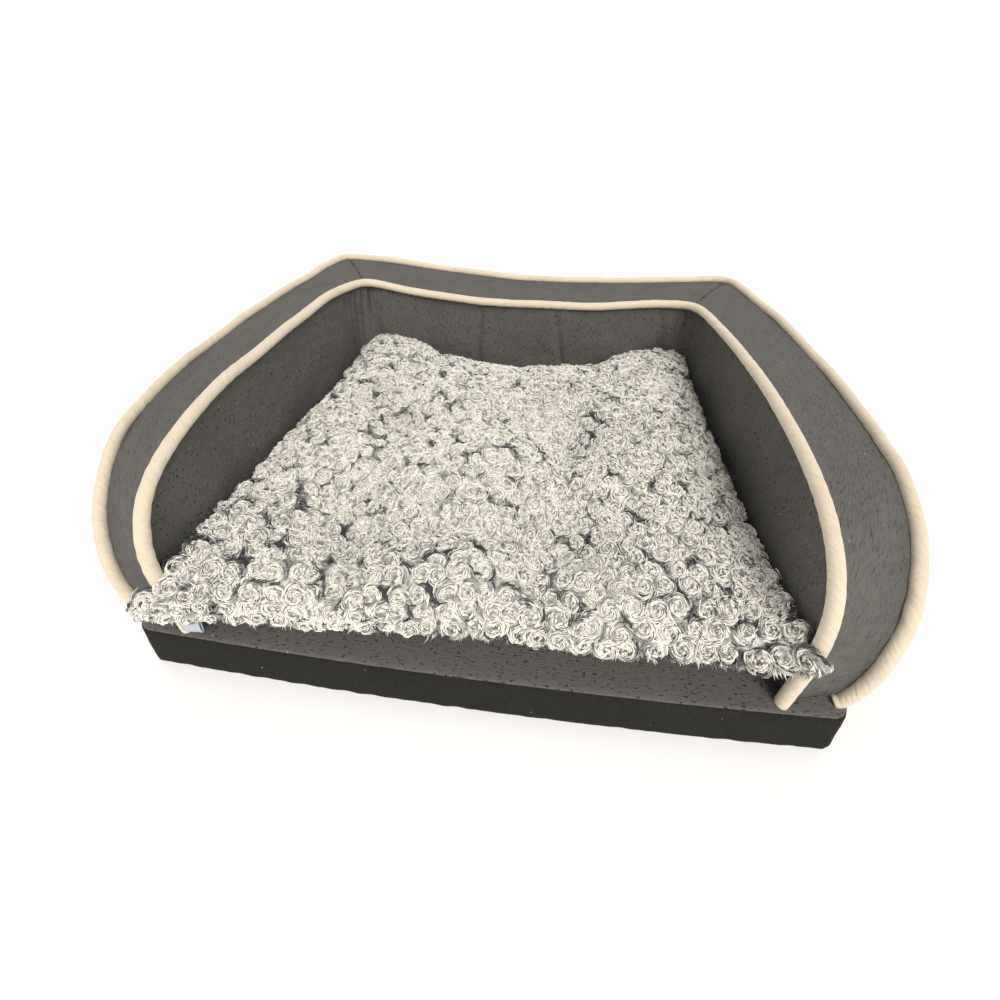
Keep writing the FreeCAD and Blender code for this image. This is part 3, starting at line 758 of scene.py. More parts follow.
def bolster_lines():
    """The bolster's inner foot, inner edge, outer edge and outer foot, left front to right front."""
    near = np.linspace(0, 1, 1200) ** 3
    bow = 4 * near * (1 - near)
    inner_y = mix(ARM_FRONT, SEAT_BACK, near)
    outer_y = mix(ARM_FRONT + OUTER_SETBACK, OUTER_BACK, near)
    inner_up = rise(inner_y - ARM_FRONT, *INNER_RISE)
    outer_up = rise(outer_y - outer_y[0], *OUTER_RISE)
    inner_x = mix(INNER_FRONT_X, INNER_CORNER_X, near) + INNER_BOW * bow
    outer_x = OUTER_FOOT_X + FLARE * outer_up**0.7 + OUTER_BOW * bow
    outer_x = outer_x + FRONT_SWELL * outer_up**0.3 * np.exp(-(((outer_y - outer_y[0]) / 0.14) ** 2))
    inner_z = BASE_TOP + (mix(INNER_FRONT_HEIGHT, INNER_BACK_HEIGHT, near) - BASE_TOP) * inner_up
    outer_z = BASE_TOP + (mix(OUTER_FRONT_HEIGHT, OUTER_BACK_HEIGHT, near) - BASE_TOP) * outer_up
    level = np.full_like(near, BASE_TOP)
    arms = (
        np.stack([inner_x - WALL_LEAN * inner_up, mix(ARM_FRONT, INNER_FOOT_BACK, near), level], 1),
        np.stack([inner_x, inner_y, inner_z], 1),
        np.stack([outer_x, outer_y, outer_z], 1),
        np.stack([level * 0 + OUTER_FOOT_X, mix(outer_y[0], OUTER_FOOT_BACK, near), level], 1),
    )
    across = np.linspace(-1, 1, 200)
    dip = BACK_SAG * np.cos(math.pi / 2 * across)
    flat = np.ones_like(across)
    backs = (
        np.stack([across * INNER_CORNER_FOOT_X, flat * INNER_FOOT_BACK, flat * BASE_TOP], 1),
        np.stack([across * INNER_CORNER_X, flat * SEAT_BACK, INNER_BACK_HEIGHT - dip], 1),
        np.stack([across * OUTER_CORNER_X, flat * OUTER_BACK, OUTER_BACK_HEIGHT - dip], 1),
        np.stack([across * OUTER_FOOT_X, flat * OUTER_FOOT_BACK, flat * BASE_TOP], 1),
    )
    lines = [whole_line(arm, back) for arm, back in zip(arms, backs)]
    uneven(lines[1], lines[2])
    return [round_corners(line, reach) for line, reach in zip(lines, (5.2, 5.2, 2.4, 2.4))]


def ease(part):
    """A smooth step from 0 to 1."""
    part = np.clip(part, 0, 1)
    return part * part * (3 - 2 * part)


def uneven(inner, outer):
    """Gives the inner and outer edge the unevenness of a bed in use."""
    x, y = inner[:, 0], inner[:, 1]
    inner[:, 2] += LEFT_INNER_LIFT * ease((-x - 0.225) / 0.055) * np.exp(-(((y - 0.12) / 0.145) ** 2))
    inner[:, 0] -= RIGHT_INNER_SHIFT * ease(x / 0.29) * np.exp(-(((y + 0.21) / 0.17) ** 2))
    x, y = outer[:, 0], outer[:, 1]
    on_the_arm, near_the_corner = ease((y + 0.2) / 0.12), ease((y - 0.25) / 0.1)
    outer[:, 2] += LEFT_OUTER_LIFT * ease(-x / 0.25) * (0.6 * on_the_arm + 0.4 * near_the_corner)
    outer[:, 2] += 0.0025 * ease((y + 0.3) / 0.2)


def bolster_grid():
    """Flat panels between the bolster's lines, and the rows that are sewn."""
    lines = bolster_lines()
    rows, sewn = [lines[0][None]], [0]
    for (low, high), count in zip(zip(lines, lines[1:]), PANEL_ROWS.values()):
        parts = np.linspace(0, 1, count + 1)[1:, None, None]
        rows.append(mix(low[None], high[None], parts))
        sewn.append(sewn[-1] + count)
    return np.concatenate(rows), sewn


def bolster_cloth(grid):
    """Each point's place on the flat cloth: walls are cut upright, the band follows its seams."""
    def centred(line):
        way = distances(line)
        return way - way[len(way) // 2]

    sheets = []
    start = 0
    for panel, count in PANEL_ROWS.items():
        sheet = grid[start:start + count + 1]
        flatten = (1, 1, 0) if panel != "top_band" else (1, 1, 1)
        t = np.linspace(0, 1, count + 1)[:, None]
        along = mix(centred(sheet[0] * flatten)[None], centred(sheet[-1] * flatten)[None], t)
        over = np.linalg.norm(np.diff(sheet, axis=0), axis=-1)
        over = np.concatenate([np.zeros((1, grid.shape[1])), np.cumsum(over, 0)])
        sheets.append(np.stack([along, over if panel == "top_band" else sheet[..., 2]], -1))
        start += count
    return sheets


# Where along the inner wall the corners pull it into fine folds.
CORNER_PULL = 0.300
# Tucks in the back's inner wall: place along it at the foot, lean over its height, width, strength.
BACK_TUCKS = (
    (-0.089, 0.008, 0.0055, 1.0), (0.079, -0.020, 0.0055, 0.9), (0.262, -0.012, 0.0065, 1.05),
    (-0.279, -0.010, 0.0065, 1.1), (0.020, 0.004, 0.018, 0.25), (-0.190, 0.000, 0.025, 0.3),
)


def tucks(cloth, height, panel):
    """Depth of a panel's folds, as a share: tucks in the back's inner wall, pulls beside its corners."""
    depth = np.zeros(height.shape)
    along = cloth[..., 0]
    if panel == "inner_wall":
        for at, lean, wide, strong in BACK_TUCKS:
            wander = 0.0025 * ripple(np.stack([height * 0.16, 0 * height], -1), 0.05, at * 100)
            off = along - at - lean * height - wander
            crease = np.exp(-np.abs(off) / wide) - 0.35 * np.exp(-((off / (3.5 * wide)) ** 2))
            depth += strong * crease * np.clip(1.02 - height, 0, 1) ** 0.3
        for corner in (-CORNER_PULL, CORNER_PULL):
            pull = np.cos((along - corner) / 0.0050 + height * 2.0 * math.copysign(1, corner)) ** 2
            depth += 0.38 * pull * np.exp(-(((along - corner) / 0.040) ** 2)) * height**1.5
    return depth


class PETBED_OT_base(bpy.types.Operator):
    """Sews the base's casing round its foam slab"""

    bl_idname = "petbed.base"
    bl_label = "Base"

    def execute(self, context):
        cloth = context.scene.bed_cloth
        material = upholstery()
        # The side bands get the darker copy of the cloth: painted shade on the base's sides.
        base_gussets(upholstery("slub upholstery of the side bands", cloth.side_band_painted_shade), cloth.thickness)
        top = slab_face("sewn_base_top", BASE_TOP, 1)
        add_piece(top, "base_top_panel", "bed", material, thickness=cloth.thickness)
        bottom = slab_face("sewn_base_underside", 0.0002, -1)
        under = napped_cloth("underside cloth", (0.03, 0.03, 0.032), 420.0, 0.9)
        add_piece(bottom, "base_bottom_panel", "bed", under)
        slab = tube_mesh("foam_slab", self.foam_rings())
        foam = napped_cloth("foam", (0.72, 0.66, 0.45), 380.0, 0.5, 0.0, 0.0012, 0.3, 0.0)
        add_piece(slab, "base_foam", "bed", foam)
        return {"FINISHED"}

    def foam_rings(self):
        """Outlines of the foam slab from its underside up, with its edges rounded off."""
        loop, out = base_outline(200)
        profile = ((0.008, 0.003), (0.005, 0.006), (0.005, BASE_TOP - 0.008), (0.008, BASE_TOP - 0.004))
        return np.stack([loop - out * inset + (0, 0, height) for inset, height in profile])


class PETBED_OT_bolster(bpy.types.Operator):
    """Fills and sews the two arms and the back"""

    bl_idname = "petbed.bolster"
    bl_label = "Bolster"

    def execute(self, context):
        settings = context.scene.bed_bolster
        flat, sewn_rows = bolster_grid()
        cloth = bolster_cloth(flat)
        sewn = np.zeros(flat.shape[:2], bool)
        sewn[sewn_rows] = True
        sewn[:, :3] = sewn[:, -3:] = True
        full = inflate("bolster_cloth", flat, sewn, settings)
        sheets = [
            self.settle(full[low:high + 1], flat_cloth, panel, settings)
            for panel, flat_cloth, low, high in zip(PANEL_ROWS, cloth, sewn_rows, sewn_rows[1:])
        ]
        self.panels(context, sheets)
        self.fillings(sheets)
        return {"FINISHED"}

    def settle(self, sheet, flat, panel, settings):
        """A finer sheet with seam puckers, tucks, mitres and the unevenness of a hand-filled panel."""
        sheet, flat = finer(sheet), finer(flat)
        height = np.linspace(0, 1, len(sheet))[:, None] * np.ones((1, sheet.shape[1]))
        edge = np.minimum(height, 1 - height) * PANEL_HEIGHT
        free = np.clip(edge / 0.006, 0, 1)
        pucker = ripple(flat * (1, 0.25), 0.012, 21) * np.exp(-edge / 0.016)
        settled = ripple(sheet, 0.075, 22) * np.sin(math.pi * height) ** 0.6
        move = pucker * 0.0014 + settled * 0.0030 + ripple(sheet, 0.022, 23) * 0.0005
        move = move - tucks(flat, height, panel) * settings.tuck
        for column in corner_columns():
            off = np.abs(flat[..., 0] - flat[:, 2 * column, 0][:, None])
            gathered = 1 + 0.5 * ripple(flat * (0.4, 1), 0.013, 24)
            move = move - settings.mitre * np.exp(-off / 0.0045) * gathered * (panel != "inner_wall")
        return sheet + outward(sheet) * (move * free)[..., None], flat

    def panels(self, context, sheets):
        material = upholstery()
        left, right = corner_columns()
        last = ARM_COLUMNS * 2 + BACK_COLUMNS
        stretches = {"left": (0, left), "back": (left, right), "right": (right, last)}
        for panel, (sheet, flat) in zip(PANEL_ROWS, sheets):
            for side, (start, end) in stretches.items():
                columns = slice(2 * start, 2 * end + 1)
                mesh = grid_mesh(f"sewn_{panel}_{side}", sheet[:, columns], flat[:, columns])
                add_piece(
                    mesh, f"{panel}_{side}", "bed", material,
                    thickness=context.scene.bed_cloth.thickness,
                )

    def fillings(self, sheets):
        """Closed pillows of fibre, a little inside the panels."""
        fibre = napped_cloth("fibre fill", (0.78, 0.78, 0.76), 260.0, 0.3, 0.0, 0.002, 0.1, 0.0)
        whole = np.concatenate([sheets[0][0]] + [sheet[1:] for sheet, _ in sheets[1:]])
        inside = mix(whole.mean(0), whole, FILLING_SHARE)
        left, right = (2 * column for column in corner_columns())
        stretches = {
            "left": (24, left - 4), "back": (left + 4, right - 4), "right": (right + 4, len(whole[0]) - 25),
        }
        for side, (start, end) in stretches.items():
            rings = inside[::2, start:end + 1:3].swapaxes(0, 1)[:, ::-1]
            mesh = tube_mesh(f"filling_{side}", rings)
            add_piece(mesh, f"bolster_fill_{side}", "bed", fibre)


# ---------------------------------------------------------------- piping

def piping_path(which, sunk):
    """Middle line of a piping cord along a seam of the bolster, and its direction away from it."""
    foot_in, edge_in, edge_out, foot_out = bolster_lines()
    edge, first, second = (
        (edge_in, foot_in, edge_out) if which == "inner" else (edge_out, foot_out, edge_in)
    )
    ahead = unit(np.gradient(edge, axis=0))
    reach = np.zeros_like(edge)
    for other in (first, second):
        side = other - edge
        side = side - (side * ahead).sum(1, keepdims=True) * ahead
        reach += unit(side)
    reach[:3], reach[-3:] = reach[3], reach[-4]
    away = -unit(reach)
    for _ in range(6):
        away[1:-1] = (away[:-2] + 2 * away[1:-1] + away[2:]) / 4
    line = edge + unit(away) * sunk
    line[:, 2] = np.maximum(line[:, 2], BASE_TOP + 0.0002)
    both = np.concatenate([line, away], 1)
    along = distances(line)
    wanted = np.linspace(0, along[-1], 900)
    both = np.stack([np.interp(wanted, along, both[:, k]) for k in range(6)], 1)
    return both[:, :3], unit(both[:, 3:])


def swept_rings(line, radii, sides, towards=None):
    """Rings of points round a line. They start at the side given by towards; radii are per point."""
    ahead = unit(np.gradient(line, axis=0))
    if towards is None:
        towards = np.broadcast_to((0.3, 1.0, 0.2), line.shape)
    first = unit(towards - (towards * ahead).sum(1, keepdims=True) * ahead)
    second = np.cross(ahead, first)
    angle = np.linspace(0, 2 * math.pi, sides, endpoint=False)
    round_it = first[:, None] * np.cos(angle)[None, :, None] + second[:, None] * np.sin(angle)[None, :, None]
    return line[:, None] + round_it * radii[..., None]


# Sides of a cover and of a core, and the core's radius beside the cover's.
COVER_SIDES = 20
CORE_SIDES = 10
CORE_SHARE = 0.72


class PETBED_OT_piping(bpy.types.Operator):
    """Sews the two covered cords into the bolster's edges"""

    bl_idname = "petbed.piping"
    bl_label = "Piping"

    def execute(self, context):
        settings = context.scene.bed_piping
        cover = piping_cloth()
        core = napped_cloth("cord core", (0.70, 0.66, 0.58), 500.0, 0.5)
        radius = settings.diameter / 2
        angle = np.linspace(0, math.tau, COVER_SIDES, endpoint=False)[None]
        for seed, (which, proud) in enumerate((("inner", settings.proud), ("outer", settings.outer_proud))):
            line, away = piping_path(which, radius * proud)
            way = distances(line)[:, None]
            line = self.wander(line, away, way, seed)
            radii = radius * self.cover_size(way, angle, settings, seed)
            rings = swept_rings(line, radii, COVER_SIDES, -away)
            flat = np.stack(np.broadcast_arrays(way + angle * radius * 0.7, angle * radius), -1)
            mesh = tube_mesh(f"covered_{which}_piping", rings, flat)
            add_piece(mesh, f"{which}_piping_cover", "bed", cover)
            middle, back = line[3:-3:3], -away[3:-3:3]
            radii = np.full((len(middle), CORE_SIDES), radius * CORE_SHARE)
            mesh = tube_mesh(f"cord_{which}_piping", swept_rings(middle, radii, CORE_SIDES, back))
            add_piece(mesh, f"{which}_piping_cord", "bed", core)
        return {"FINISHED"}

    def wander(self, line, away, way, seed):
        """A cord's line, as uneven as hand sewing leaves it, but true at its ends."""
        straight = np.concatenate([way, 0 * way], 1)
        calm = np.minimum(1, np.minimum(way, way[::-1]) / 0.05)
        line = line + (0, 0, 0.0016) * ripple(straight, 0.10, 31 + seed)[:, None] * calm
        line = line + away * (ripple(straight, 0.05, 36 + seed)[:, None] * 0.0007 * calm)
        line[:, 2] = np.maximum(line[:, 2], BASE_TOP + 0.0002)
        return line

    def cover_size(self, way, angle, settings, seed):
        """The cover's radii as shares of its radius: twisted here and there, and a little lumpy."""
        straight = np.concatenate([way, 0 * way], 1)
        twist = np.sin(2 * angle + way / 0.0030 + 3 * ripple(straight, 0.05, 41 + seed)[:, None])
        where = np.clip(0.2 + 1.1 * ripple(straight, 0.08, 51 + seed), 0.08, 1)[:, None]
        place = np.stack(np.broadcast_arrays(way, np.cos(angle) * 0.01, np.sin(angle) * 0.01), -1)
        lumps = ripple(place, 0.010, 61 + seed) + 0.8 * ripple(place, 0.03, 66 + seed)
        return 1 + settings.twist * twist * where + 0.03 * lumps


# ---------------------------------------------------------------- loose cushion

# The cushion's seam, side by side, from corner to corner.
FRONT_LEFT = (-0.352, -0.366, 0.121)
FRONT_RIGHT = (0.318, -0.364, 0.165)
BACK_LEFT = (-0.298, 0.219, 0.114)
BACK_RIGHT = (0.302, 0.216, 0.122)
SEAM_FRONT = (
    FRONT_LEFT, (-0.330, -0.366, 0.112), (-0.305, -0.358, 0.103), (-0.248, -0.350, 0.098),
    (-0.185, -0.346, 0.095), (-0.085, -0.343, 0.102), (0.030, -0.341, 0.110), (0.090, -0.341, 0.108),
    (0.135, -0.341, 0.102), (0.205, -0.343, 0.114), (0.255, -0.346, 0.120), (0.298, -0.354, 0.134),
    FRONT_RIGHT,
)
SEAM_RIGHT = (
    FRONT_RIGHT, (0.311, -0.345, 0.166), (0.307, -0.313, 0.156), (0.306, -0.267, 0.142),
    (0.306, -0.205, 0.130), (0.305, -0.120, 0.121), (0.304, -0.020, 0.114), (0.303, 0.086, 0.105),
    (0.303, 0.170, 0.102), BACK_RIGHT,
)
SEAM_BACK = (
    BACK_LEFT, (-0.265, 0.218, 0.118), (-0.215, 0.213, 0.109), (-0.178, 0.205, 0.099),
    (-0.148, 0.196, 0.088), (-0.095, 0.189, 0.083), (-0.010, 0.185, 0.081), (0.096, 0.187, 0.084),
    (0.145, 0.195, 0.098), (0.183, 0.204, 0.114), (0.231, 0.211, 0.129), (0.280, 0.216, 0.136),
    BACK_RIGHT,
)
SEAM_LEFT = (
    FRONT_LEFT, (-0.322, -0.362, 0.146), (-0.309, -0.330, 0.158), (-0.307, -0.285, 0.157),
    (-0.306, -0.237, 0.150), (-0.306, -0.160, 0.139), (-0.305, -0.060, 0.127), (-0.304, 0.010, 0.112),
    (-0.303, 0.120, 0.103), (-0.301, 0.180, 0.104), BACK_LEFT,
)
# The tufts: back left, back right, front left, front right.
TUFTS = ((-0.154, -0.034), (0.092, -0.045), (-0.155, -0.246), (0.090, -0.238))
CUSHION_WIDTH, CUSHION_DEPTH = 0.62, 0.57
CUSHION_COLUMNS = 84
CUSHION_ROWS = 78
VALLEY_DEPTH = 0.012
VALLEY_WIDTH = 0.032
TIE_RADIUS = 0.0012


def coons(front, back, left, right):
    """A smooth sheet between four lines; its rows run from front to back, its columns left to right."""
    u = np.linspace(0, 1, len(front))[None, :, None]
    v = np.linspace(0, 1, len(left))[:, None, None]
    ruled = mix(front[None], back[None], v) + mix(left[:, None], right[:, None], u)
    corners = mix(mix(front[0], front[-1], u), mix(back[0], back[-1], u), v)
    return ruled - corners


def cushion_sheets(settings):
    """The cushion's top and underside before it is filled, sharing their seam."""
    front, back = spline(SEAM_FRONT, CUSHION_COLUMNS + 1), spline(SEAM_BACK, CUSHION_COLUMNS + 1)
    left, right = spline(SEAM_LEFT, CUSHION_ROWS + 1), spline(SEAM_RIGHT, CUSHION_ROWS + 1)
    u, v = np.linspace(0, 1, CUSHION_COLUMNS + 1), np.linspace(0, 1, CUSHION_ROWS + 1)
    sheet = coons(front, back, left, right)
    to_side = np.minimum(u, 1 - u)[None] * CUSHION_WIDTH * np.ones((len(v), 1))
    to_end = np.minimum(v, 1 - v)[:, None] * CUSHION_DEPTH * np.ones((1, len(u)))
    x, y, seam = sheet[..., 0], sheet[..., 1], sheet[..., 2]
    crown = np.full(x.shape, settings.crown)
    for tuft_x, tuft_y in TUFTS:
        far = np.hypot(x - tuft_x, y - tuft_y)
        crown -= settings.tuft * (0.55 * np.exp(-far / 0.022) + 0.45 * np.exp(-(far / 0.075) ** 2))
    crown -= valleys(x, y) * VALLEY_DEPTH
    high = seam > crown

    def near_seam(fall, end_fall):
        return 1 - (1 - np.exp(-to_side / fall)) * (1 - np.exp(-to_end / end_fall))

    hollow = np.exp(-(((x + 0.015) / 0.13) ** 2)) * (v[:, None] > 0.5)
    kept = np.where(high, near_seam(0.065, 0.065), near_seam(0.020, 0.020 + 0.035 * hollow))
    top, under = sheet.copy(), sheet.copy()
    top[..., 2] = mix(crown, seam, kept)
    floor = CUSHION_FLOOR + 0.0012
    under[..., 2] = mix(floor, seam, near_seam(0.026, 0.026))
    return top, under


def valleys(x, y):
    """Soft troughs between the tufts and out to the dips in the back seam."""
    back_left, back_right, front_left, front_right = TUFTS
    runs = (
        (back_left, (-0.150, 0.200)), (back_right, (0.150, 0.200)), (front_left, back_left),
        (front_right, back_right), (front_left, front_right), (back_left, back_right),
    )
    depth = np.zeros_like(x)
    for (ax, ay), (bx, by) in runs:
        part = ((x - ax) * (bx - ax) + (y - ay) * (by - ay)) / ((bx - ax) ** 2 + (by - ay) ** 2)
        part = np.clip(part, 0, 1)
        off = np.hypot(x - mix(ax, bx, part), y - mix(ay, by, part))
        depth = np.maximum(depth, np.exp(-((off / VALLEY_WIDTH) ** 2)))
    return depth


def cushion_top():
    """The filled cushion's top sheet, read back from the piece that PETBED_OT_cushion made."""
    piece = bpy.data.objects.get("sewn_cushion_top")
    if piece is None:
        raise RuntimeError("the plush is sewn to the cushion, so make the cushion first")
    points = np.empty(len(piece.data.vertices) * 3, np.float32)
    piece.data.vertices.foreach_get("co", points)
    return points.reshape(2 * CUSHION_ROWS + 1, 2 * CUSHION_COLUMNS + 1, 3).astype(float)


class PETBED_OT_cushion(bpy.types.Operator):
    """Fills the loose cushion: its plush backing, its lining, its filling and its tufts"""

    bl_idname = "petbed.cushion"
    bl_label = "Cushion"

    def execute(self, context):
        settings = context.scene.bed_cushion
        top, under = cushion_sheets(settings)
        sewn = np.zeros(top.shape[:2], bool)
        sewn[[0, -1]] = True
        sewn[:, [0, -1]] = True
        for x, y in TUFTS:
            far = np.hypot(top[..., 0] - x, top[..., 1] - y)
            sewn |= far <= max(far.min() * 1.01, 0.009)
        top = inflate("cushion_cloth", top, sewn, settings)
        top, under = finer(top), finer(under)
        cloth = top[..., :2]
        backing = napped_cloth("plush backing", (0.045, 0.052, 0.053), 900.0, 0.8)
        lining = napped_cloth("cushion lining", context.scene.bed_cloth.lining, 1100.0, 0.5)
        add_piece(grid_mesh("sewn_cushion_top", top, cloth), "cushion_top_cover", "cushion",
                  backing)
        below = grid_mesh("sewn_cushion_lining", under[:, ::-1], under[:, ::-1, :2])
        add_piece(below, "cushion_bottom_cover", "cushion", lining)
        self.filling(top, under)
        self.ties(top)
        return {"FINISHED"}

    def filling(self, top, under):
        """One closed pillow of fibre, a little inside both covers."""
        upper = (top - outward(top) * 0.004)[6:-6:2, 6:-6:2]
        lower = (under + outward(under) * 0.003)[6:-6:2, 6:-6:2]
        lower[..., 2] = np.minimum(lower[..., 2], upper[..., 2] - 0.002)
        fibre = napped_cloth("fibre fill", (0.78, 0.78, 0.76), 260.0, 0.3, 0.0, 0.002, 0.1, 0.0)
        mesh = pillow_mesh("filling_cushion", upper, lower)
        add_piece(mesh, "cushion_fill", "cushion", fibre)

    def ties(self, top):
        """Threads from the lining up to the bottom of each tuft."""
        steps, sides = 14, 12
        strands, faces = [], []
        for number, (x, y) in enumerate(TUFTS):
            far = np.hypot(top[..., 0] - x, top[..., 1] - y)
            head = top[..., 2].ravel()[far.argmin()] - 0.002
            heights = np.linspace(CUSHION_FLOOR + 0.002, head, steps)
            line = np.stack([np.full(steps, x), np.full(steps, y), heights], 1)
            twist = np.arange(steps)[:, None] * 0.7
            angle = np.linspace(0, math.tau, sides, endpoint=False)[None]
            rings = swept_rings(line, TIE_RADIUS * (1 + 0.25 * np.cos(3 * (angle + twist))), sides)
            faces.append(tube_faces(number * steps * sides, steps, sides))
            strands.append(rings.reshape(-1, 3))
        mesh = make_mesh("tuft_threads", np.concatenate(strands), faces)
        thread = napped_cloth("thread", (0.5, 0.48, 0.44), 2500.0, 0.6)
        add_piece(mesh, "tuft_ties", "cushion", thread)


# ---------------------------------------------------------------- rosette plush

# Rings of curls in a rosette: share of its radius, curls, turn in radians and height as a share.
ROSETTE_RINGS = ((0.95, 14, 1.30, 0.82), (0.66, 10, 1.70, 1.00), (0.36, 6, 2.30, 0.95))
STRANDS_IN_A_CURL = 4
# Steps along a strand: how far along, its height there and its width there, as shares.
STRAND_STEPS = np.array(((0.0, 0.10, 0.75), (0.33, 0.85, 1.0), (0.68, 1.0, 0.85), (1.0, 0.72, 0.0)))
STRANDS_IN_A_PIECE = 12000


def look_up(grid, u, v):
    """Points of a grid at shares u of its columns and v of its rows."""
    rows, columns = grid.shape[:2]
    c, r = np.clip(u, 0, 1) * (columns - 1), np.clip(v, 0, 1) * (rows - 1)
    c0, r0 = np.minimum(c.astype(int), columns - 2), np.minimum(r.astype(int), rows - 2)
    fc, fr = (c - c0)[..., None], (r - r0)[..., None]
    near, far = mix(grid[r0, c0], grid[r0, c0 + 1], fc), mix(grid[r0 + 1, c0], grid[r0 + 1, c0 + 1], fc)
    return mix(near, far, fr)


def strand_mesh(name, spines, across, up, widths, tones):
    """Tapered, three-sided strands of fibre. Each has a spine of points that ends in its tip."""
    count, steps = spines.shape[:2]
    half = across[:, None] * (widths[:, None, None] * STRAND_STEPS[:-1, 2][None, :, None] * 0.5)
    crest = up[:, None] * (widths[:, None, None] * STRAND_STEPS[:-1, 2][None, :, None] * 0.6)
    body = spines[:, :-1]
    rings = np.stack([body + half, body + crest, body - half], 2).reshape(count, -1, 3)
    points = np.concatenate([rings, spines[:, -1:]], 1)
    each = points.shape[1]
    ring = np.arange(steps - 1)[:, None] * 3 + np.arange(3)[None]
    after = np.roll(ring, -1, 1)
    skin = np.stack([ring[:-1], ring[1:], after[1:], after[:-1]], -1).reshape(-1, 4)
    tip = np.stack([ring[-1], np.full(3, each - 1), after[-1]], -1)
    root = np.array([[0, 1, 2]])
    offsets = np.arange(count)[:, None, None] * each
    quads = (skin[None] + offsets).reshape(-1, 4)
    tris = (np.concatenate([tip, root])[None] + offsets).reshape(-1, 3)
    along = np.concatenate([np.repeat(STRAND_STEPS[:-1, 0], 3), STRAND_STEPS[-1:, 0]])
    along = np.broadcast_to(along, (count, each)).ravel()
    side = np.concatenate([np.tile((-1.0, 0.0, 1.0), steps - 1), [0.0]])
    side = np.broadcast_to(side, (count, each)).ravel()
    tone = np.repeat(tones, each)
    # Strands of one tone share a place on the OFBake map, because tone and place along decide the colour.
    maps = {"OFBake": np.stack([0.03 + 0.94 * tone + 0.012 * side, 0.02 + 0.96 * along], 1)}
    return make_mesh(name, points.reshape(-1, 3), [quads, tris], maps, {"along": along, "tone": tone})


